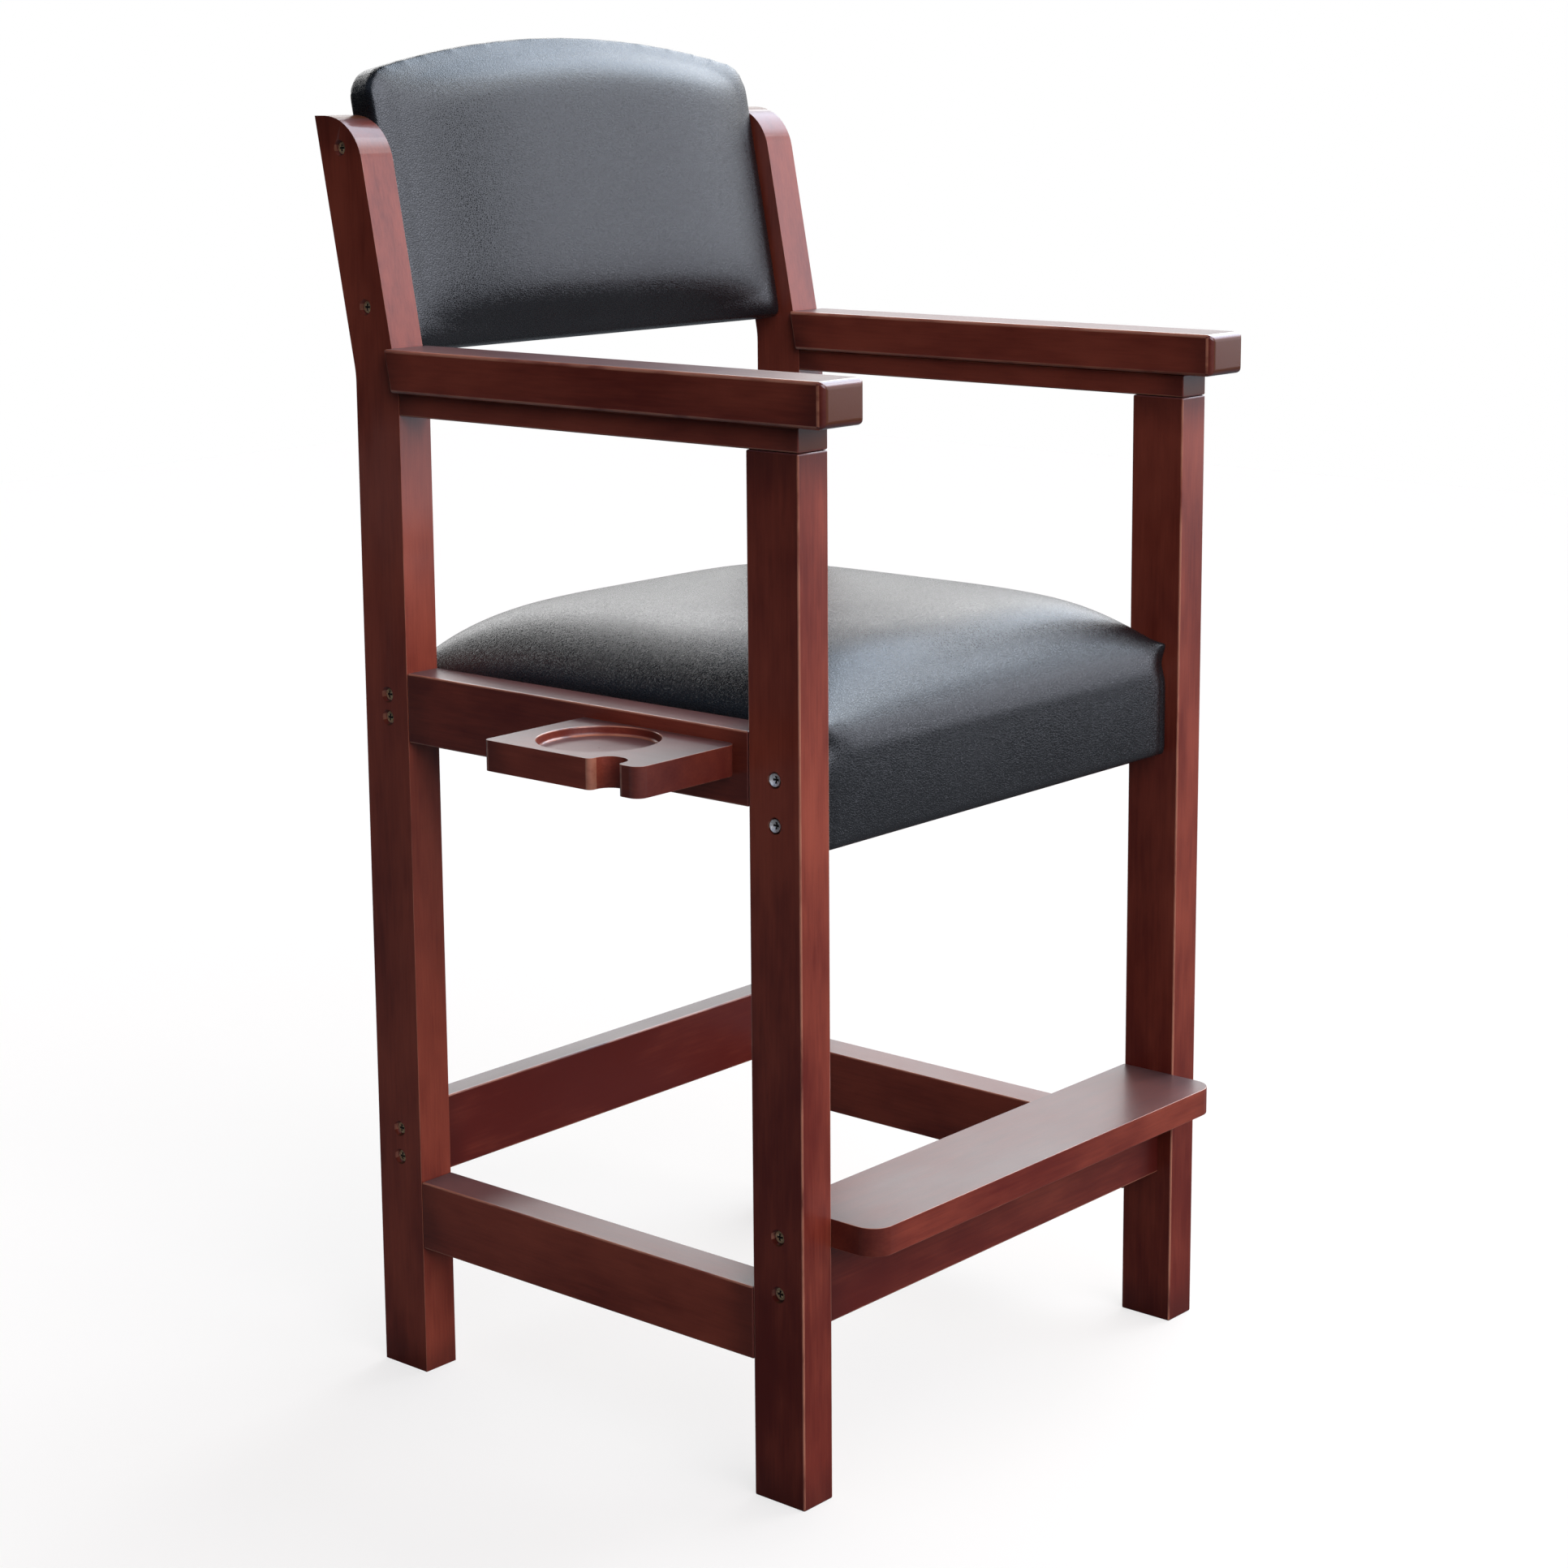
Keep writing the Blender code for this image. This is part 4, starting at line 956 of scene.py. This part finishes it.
peak = max(vert.co.z for vert in seat.data.vertices) - rail_top
for vert in seat.data.vertices:
    point = vert.co
    if point.z > rail_top:
        point.z = rail_top + (point.z - rail_top) * seat_crown / peak
    from_side = seat_half.x - abs(point.x - seat_middle.x)
    behind = min(1, max(0, (point.y - seat_low.y) / FRONT_ROLL_REACH))
    lean = front_lean(point.z) * (1 - behind) ** 2 * (1 - bell(from_side, FRONT_ROLL_FADE))
    point.y += bell(point.y - seat_low.y, TUCK_REACH) * tuck(point.z - rail_top, from_side) + lean
    point.x = min(max(point.x, seat_low.x), seat_high.x)
    point.y = min(max(point.y, seat_low.y - FRONT_BULGE - EAR), seat_high.y)
print("seat's crown was", round(peak * 1000, 1), "mm, and is now", round(seat_crown * 1000, 1), "mm")

# %% Seat's cut-out and cover
deck_low, deck_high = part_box("seat_deck")
side_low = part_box("seat_cross_side_right")[0]
wrap = deck_low.x - seat_low.x
core = box_between((deck_low.x - GAP, deck_low.y - GAP, seat_low.z - wrap),
                   deck_high + Vector((GAP, GAP, GAP)), "seat_core")
skirt = box_between((seat_low.x - wrap, side_low.y, seat_low.z - 2 * wrap),
                    (seat_high.x + wrap, seat_high.y + wrap, side_low.z - GAP), "seat_skirt")
carve(seat, [core, skirt])
cover(seat)

# %% [markdown]
# ## Back
# The back is an arched panel between the leaning posts, padded at the front and over its edges. It is laid
# out flat, with its outline in X and Y and its front along Z, and turned to the posts' lean at the end. The
# outline is extruded, its edges are rolled over, and the front is crowned before it swells.

# %% Back's plain form
LEAN = math.radians(11)
BACK_CELL = 0.005
BACK_BOTTOM = 0.037         # along the posts, above their bend
BACK_TOP = 0.317
ARCH_RADIUS = 1.050
ARCH_STEPS = 12
CORNER_REACH = 0.022        # rounding of the top corners, along their sides
BACK_REAR = -0.045          # back, rolled edge and front, from the posts' front faces
BACK_EDGE = -0.008
BACK_FRONT = 0.012
BACK_ROLL = 0.014           # rounding of the front's edge and of the rear's
REAR_ROLL = 0.0034

back_half = seat_half.x
bend = Vector((legs_middle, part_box("arm_rail_right")[1].y + GAP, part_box("armrest_right")[0].z))
to_posts = Matrix.Translation(bend) @ Matrix.Rotation(math.pi / 2 - LEAN, 4, "X")


def arch(x):
    """Height of the arched top at a distance from the middle."""
    return BACK_TOP - ARCH_RADIUS + math.sqrt(max(0, ARCH_RADIUS ** 2 - x ** 2))


bm = bmesh.new()
crest = [back_half * (1 - 2 * step / ARCH_STEPS) for step in range(ARCH_STEPS + 1)]
outline = [(back_half, BACK_BOTTOM)] + [(x, arch(x)) for x in crest] + [(-back_half, BACK_BOTTOM)]
corners = [bm.verts.new((x, y, BACK_REAR)) for x, y in outline]
bm.faces.new(corners)
bmesh.ops.bevel(bm, geom=[corners[1], corners[-2]], offset=CORNER_REACH, affect="VERTICES", segments=6,
                profile=0.5, material=-1)
front = bmesh.ops.extrude_face_region(bm, geom=list(bm.faces))["geom"]
bmesh.ops.translate(bm, vec=(0, 0, BACK_EDGE - BACK_REAR),
                    verts=[item for item in front if isinstance(item, bmesh.types.BMVert)])
bmesh.ops.recalc_face_normals(bm, faces=bm.faces)
for level, roll, segments in ((BACK_EDGE, BACK_ROLL, 5), (BACK_REAR, REAR_ROLL, 4)):
    rim = [edge for edge in bm.edges if all(abs(vert.co.z - level) < 1e-6 for vert in edge.verts)]
    bmesh.ops.bevel(bm, geom=rim, offset=roll, affect="EDGES", segments=segments, profile=0.5, material=-1)
back = new_piece(bm, "back_upholstery", "black_vinyl", "back_cushion")
back_form = even_mesh(back, BACK_CELL)
print("back's form", round(BACK_TOP - BACK_BOTTOM, 3), "m high in its middle")

# %% [markdown]
# ## Back's crown
# Foam is thickest a little away from the edges, so the crown is flat over most of the front and falls off
# near the rim. The cloth then swells it. The rear is held flat, and once the mesh is finer it is set back
# on its form, so that its edge along the arch stays clean.

# %% Back's crown and swell
BACK_START = 0.85           # crown before it swells
BACK_CAP = 0.002
CROWN_ACROSS = (4, 1)       # powers of the crown: across, up to the top and down to the bottom
CROWN_UP = (12, 1)
CROWN_DOWN = (8, 1)


def back_crown(x, y):
    """Height of the padded front, 1 in its middle."""
    middle = (arch(x) + BACK_BOTTOM) / 2
    reach = arch(x) - middle - BACK_ROLL
    return (dome(x / (back_half - BACK_ROLL), *CROWN_ACROSS)
            * dome((y - middle) / reach, *(CROWN_UP if y > middle else CROWN_DOWN)))


for vert in back.data.vertices:
    if vert.co.z > BACK_EDGE - BACK_ROLL:
        share = min(1, (vert.co.z - BACK_EDGE + BACK_ROLL) / BACK_ROLL)
        vert.co.z += share * BACK_START * (BACK_FRONT - BACK_EDGE) * back_crown(vert.co.x, vert.co.y)
swell(back, lambda point: point.z < BACK_EDGE - BACK_ROLL / 2, BACK_CAP)
refine(back)
rear = [vert.index for vert in back.data.vertices if vert.co.z < BACK_EDGE - BACK_ROLL]
back.vertex_groups.new(name="rear").add(rear, 1.0, "REPLACE")
fit(back, back_form, "rear")
back.vertex_groups.clear()

# %% Back's height, cut-out and cover
peak = max(vert.co.z for vert in back.data.vertices) - BACK_EDGE
for vert in back.data.vertices:
    if vert.co.z > BACK_EDGE:
        vert.co.z = BACK_EDGE + (vert.co.z - BACK_EDGE) * (BACK_FRONT - BACK_EDGE) / peak
    vert.co.x = min(max(vert.co.x, -back_half), back_half)
back.data.transform(to_posts)
carve(back, [cutter_of(joined(name), name + "_cutter") for name in ("back_board", "back_cover")])
cover(back)

# %% [markdown]
# ## Panel over the back's rear
# A thin, vinyl-covered panel closes the back from behind. The CAD panel has sharp edges, where vinyl that
# is pulled round a board makes a small rounding, so its rear edges are bevelled.

# %% Panel over the back's rear
PANEL_EDGE = 0.003

bm = joined("back_cover")
rearward = to_posts.to_quaternion() @ Vector((0, 0, -1))
rear_face = max(bm.faces, key=lambda face: face.normal.dot(rearward) * face.calc_area())
bmesh.ops.bevel(bm, geom=list(rear_face.edges), offset=PANEL_EDGE, affect="EDGES", segments=3, profile=0.5,
                material=-1)
panel = new_piece(bm, "back_panel", "black_vinyl", "back_cover")
finish_all(panel, vinyl)
shade(panel)
print("panel", len(panel.data.polygons), "faces")

# %% [markdown]
# ## Dust cloth
# A thin black cloth is stapled under the seat's frame. It is cut to the frame and sags a little in the
# middle. So small a sag needs no simulation: a grid is lowered by a smooth bowl with slight ripples.

# %% Dust cloth
CLOTH_CUTS = 28
CLOTH_SAG = 0.004
CLOTH_RIPPLE = 0.0006
RIPPLE_SCALE = 4
RIPPLE_SLICE = 3            # which layer of the noise is used
CLOTH_THICKNESS = 0.0006

cloth_low, cloth_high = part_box("seat_dust_cover")
cloth_size = cloth_high - cloth_low
bm = bmesh.new()
bmesh.ops.create_grid(bm, x_segments=CLOTH_CUTS, y_segments=CLOTH_CUTS, size=1)
for vert in bm.verts:
    x, y, _ = vert.co
    ripple = CLOTH_RIPPLE * noise.noise(Vector((x * RIPPLE_SCALE, y * RIPPLE_SCALE, RIPPLE_SLICE)))
    edge = (1 - x ** 2) * (1 - y ** 2)
    vert.co = ((cloth_low.x + cloth_high.x) / 2 + x * cloth_size.x / 2,
               (cloth_low.y + cloth_high.y) / 2 + y * cloth_size.y / 2,
               cloth_high.z - CLOTH_SAG * edge + ripple * edge)
dust_cloth = new_piece(bm, "dust_cloth", "dust_cloth", "seat_dust_cover")
body = dust_cloth.modifiers.new("thickness", "SOLIDIFY")
body.thickness = CLOTH_THICKNESS
body.offset = 1
dust_cloth.data.shade_smooth()
print("dust cloth cut to", [round(side, 4) for side in cloth_size.xy], "m")

# %% Cloth finish
FIBRE_SCALE = 2200.0
CLOTH_DARK = (0.010, 0.010, 0.011, 1)
CLOTH_PALE = (0.035, 0.035, 0.038, 1)

material, shader, start = new_material("black_dust_cloth")
place = start.node("TexCoord", output="Object")
fibre = start.node("TexNoise", {"Vector": place, "Scale": FIBRE_SCALE, "Detail": 3.0})
fibre.mix(CLOTH_DARK, CLOTH_PALE).feed(shader, "Base Color")
start.node("Bump", {"Height": fibre, "Strength": 0.3, "Distance": 0.0004}).feed(shader, "Normal")
constants(shader, Roughness=0.9)
finish_all(dust_cloth, material)
print("cloth finish", material.name)

# %% [markdown]
# ## Boards under the covers
# The seat's frame, its deck and the back's board are plain plywood and pine. The covers hide nearly all of
# them, so they keep their CAD shapes and only get a finish, a noise that is pressed flat into plies.

# %% Boards that keep their CAD shapes
PLY_SCALE = (60, 60, 900)   # noise to the metre
PLY_DARK = (0.36, 0.23, 0.12, 1)
PLY_PALE = (0.58, 0.42, 0.25, 1)

plywood, shader, start = new_material("plain_plywood")
place = start.node("TexCoord", output="Object")
stretched = start.node("VectorMath", {0: place, 1: PLY_SCALE}, operation="MULTIPLY")
ply = start.node("TexNoise", {"Vector": stretched, "Scale": 1.0, "Detail": 4.0})
ply.mix(PLY_DARK, PLY_PALE).feed(shader, "Base Color")
(0.6 + ply * 0.2).feed(shader, "Roughness")
boards = [name for name in nodes if name.startswith((
    "seat_corner", "seat_cross", "seat_front", "seat_rear", "seat_deck", "back_board"))]
for name in boards:
    finish_all(nodes[name], plywood)
print(len(boards), "boards of the seat and back")

# %% [markdown]
# ## Sizes
# The size of the dressed chair is printed. The dressed chair has to stay inside the CAD model's box.

low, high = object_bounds()
print("dressed chair", [round(b - a, 4) for a, b in zip(low, high)], "m")
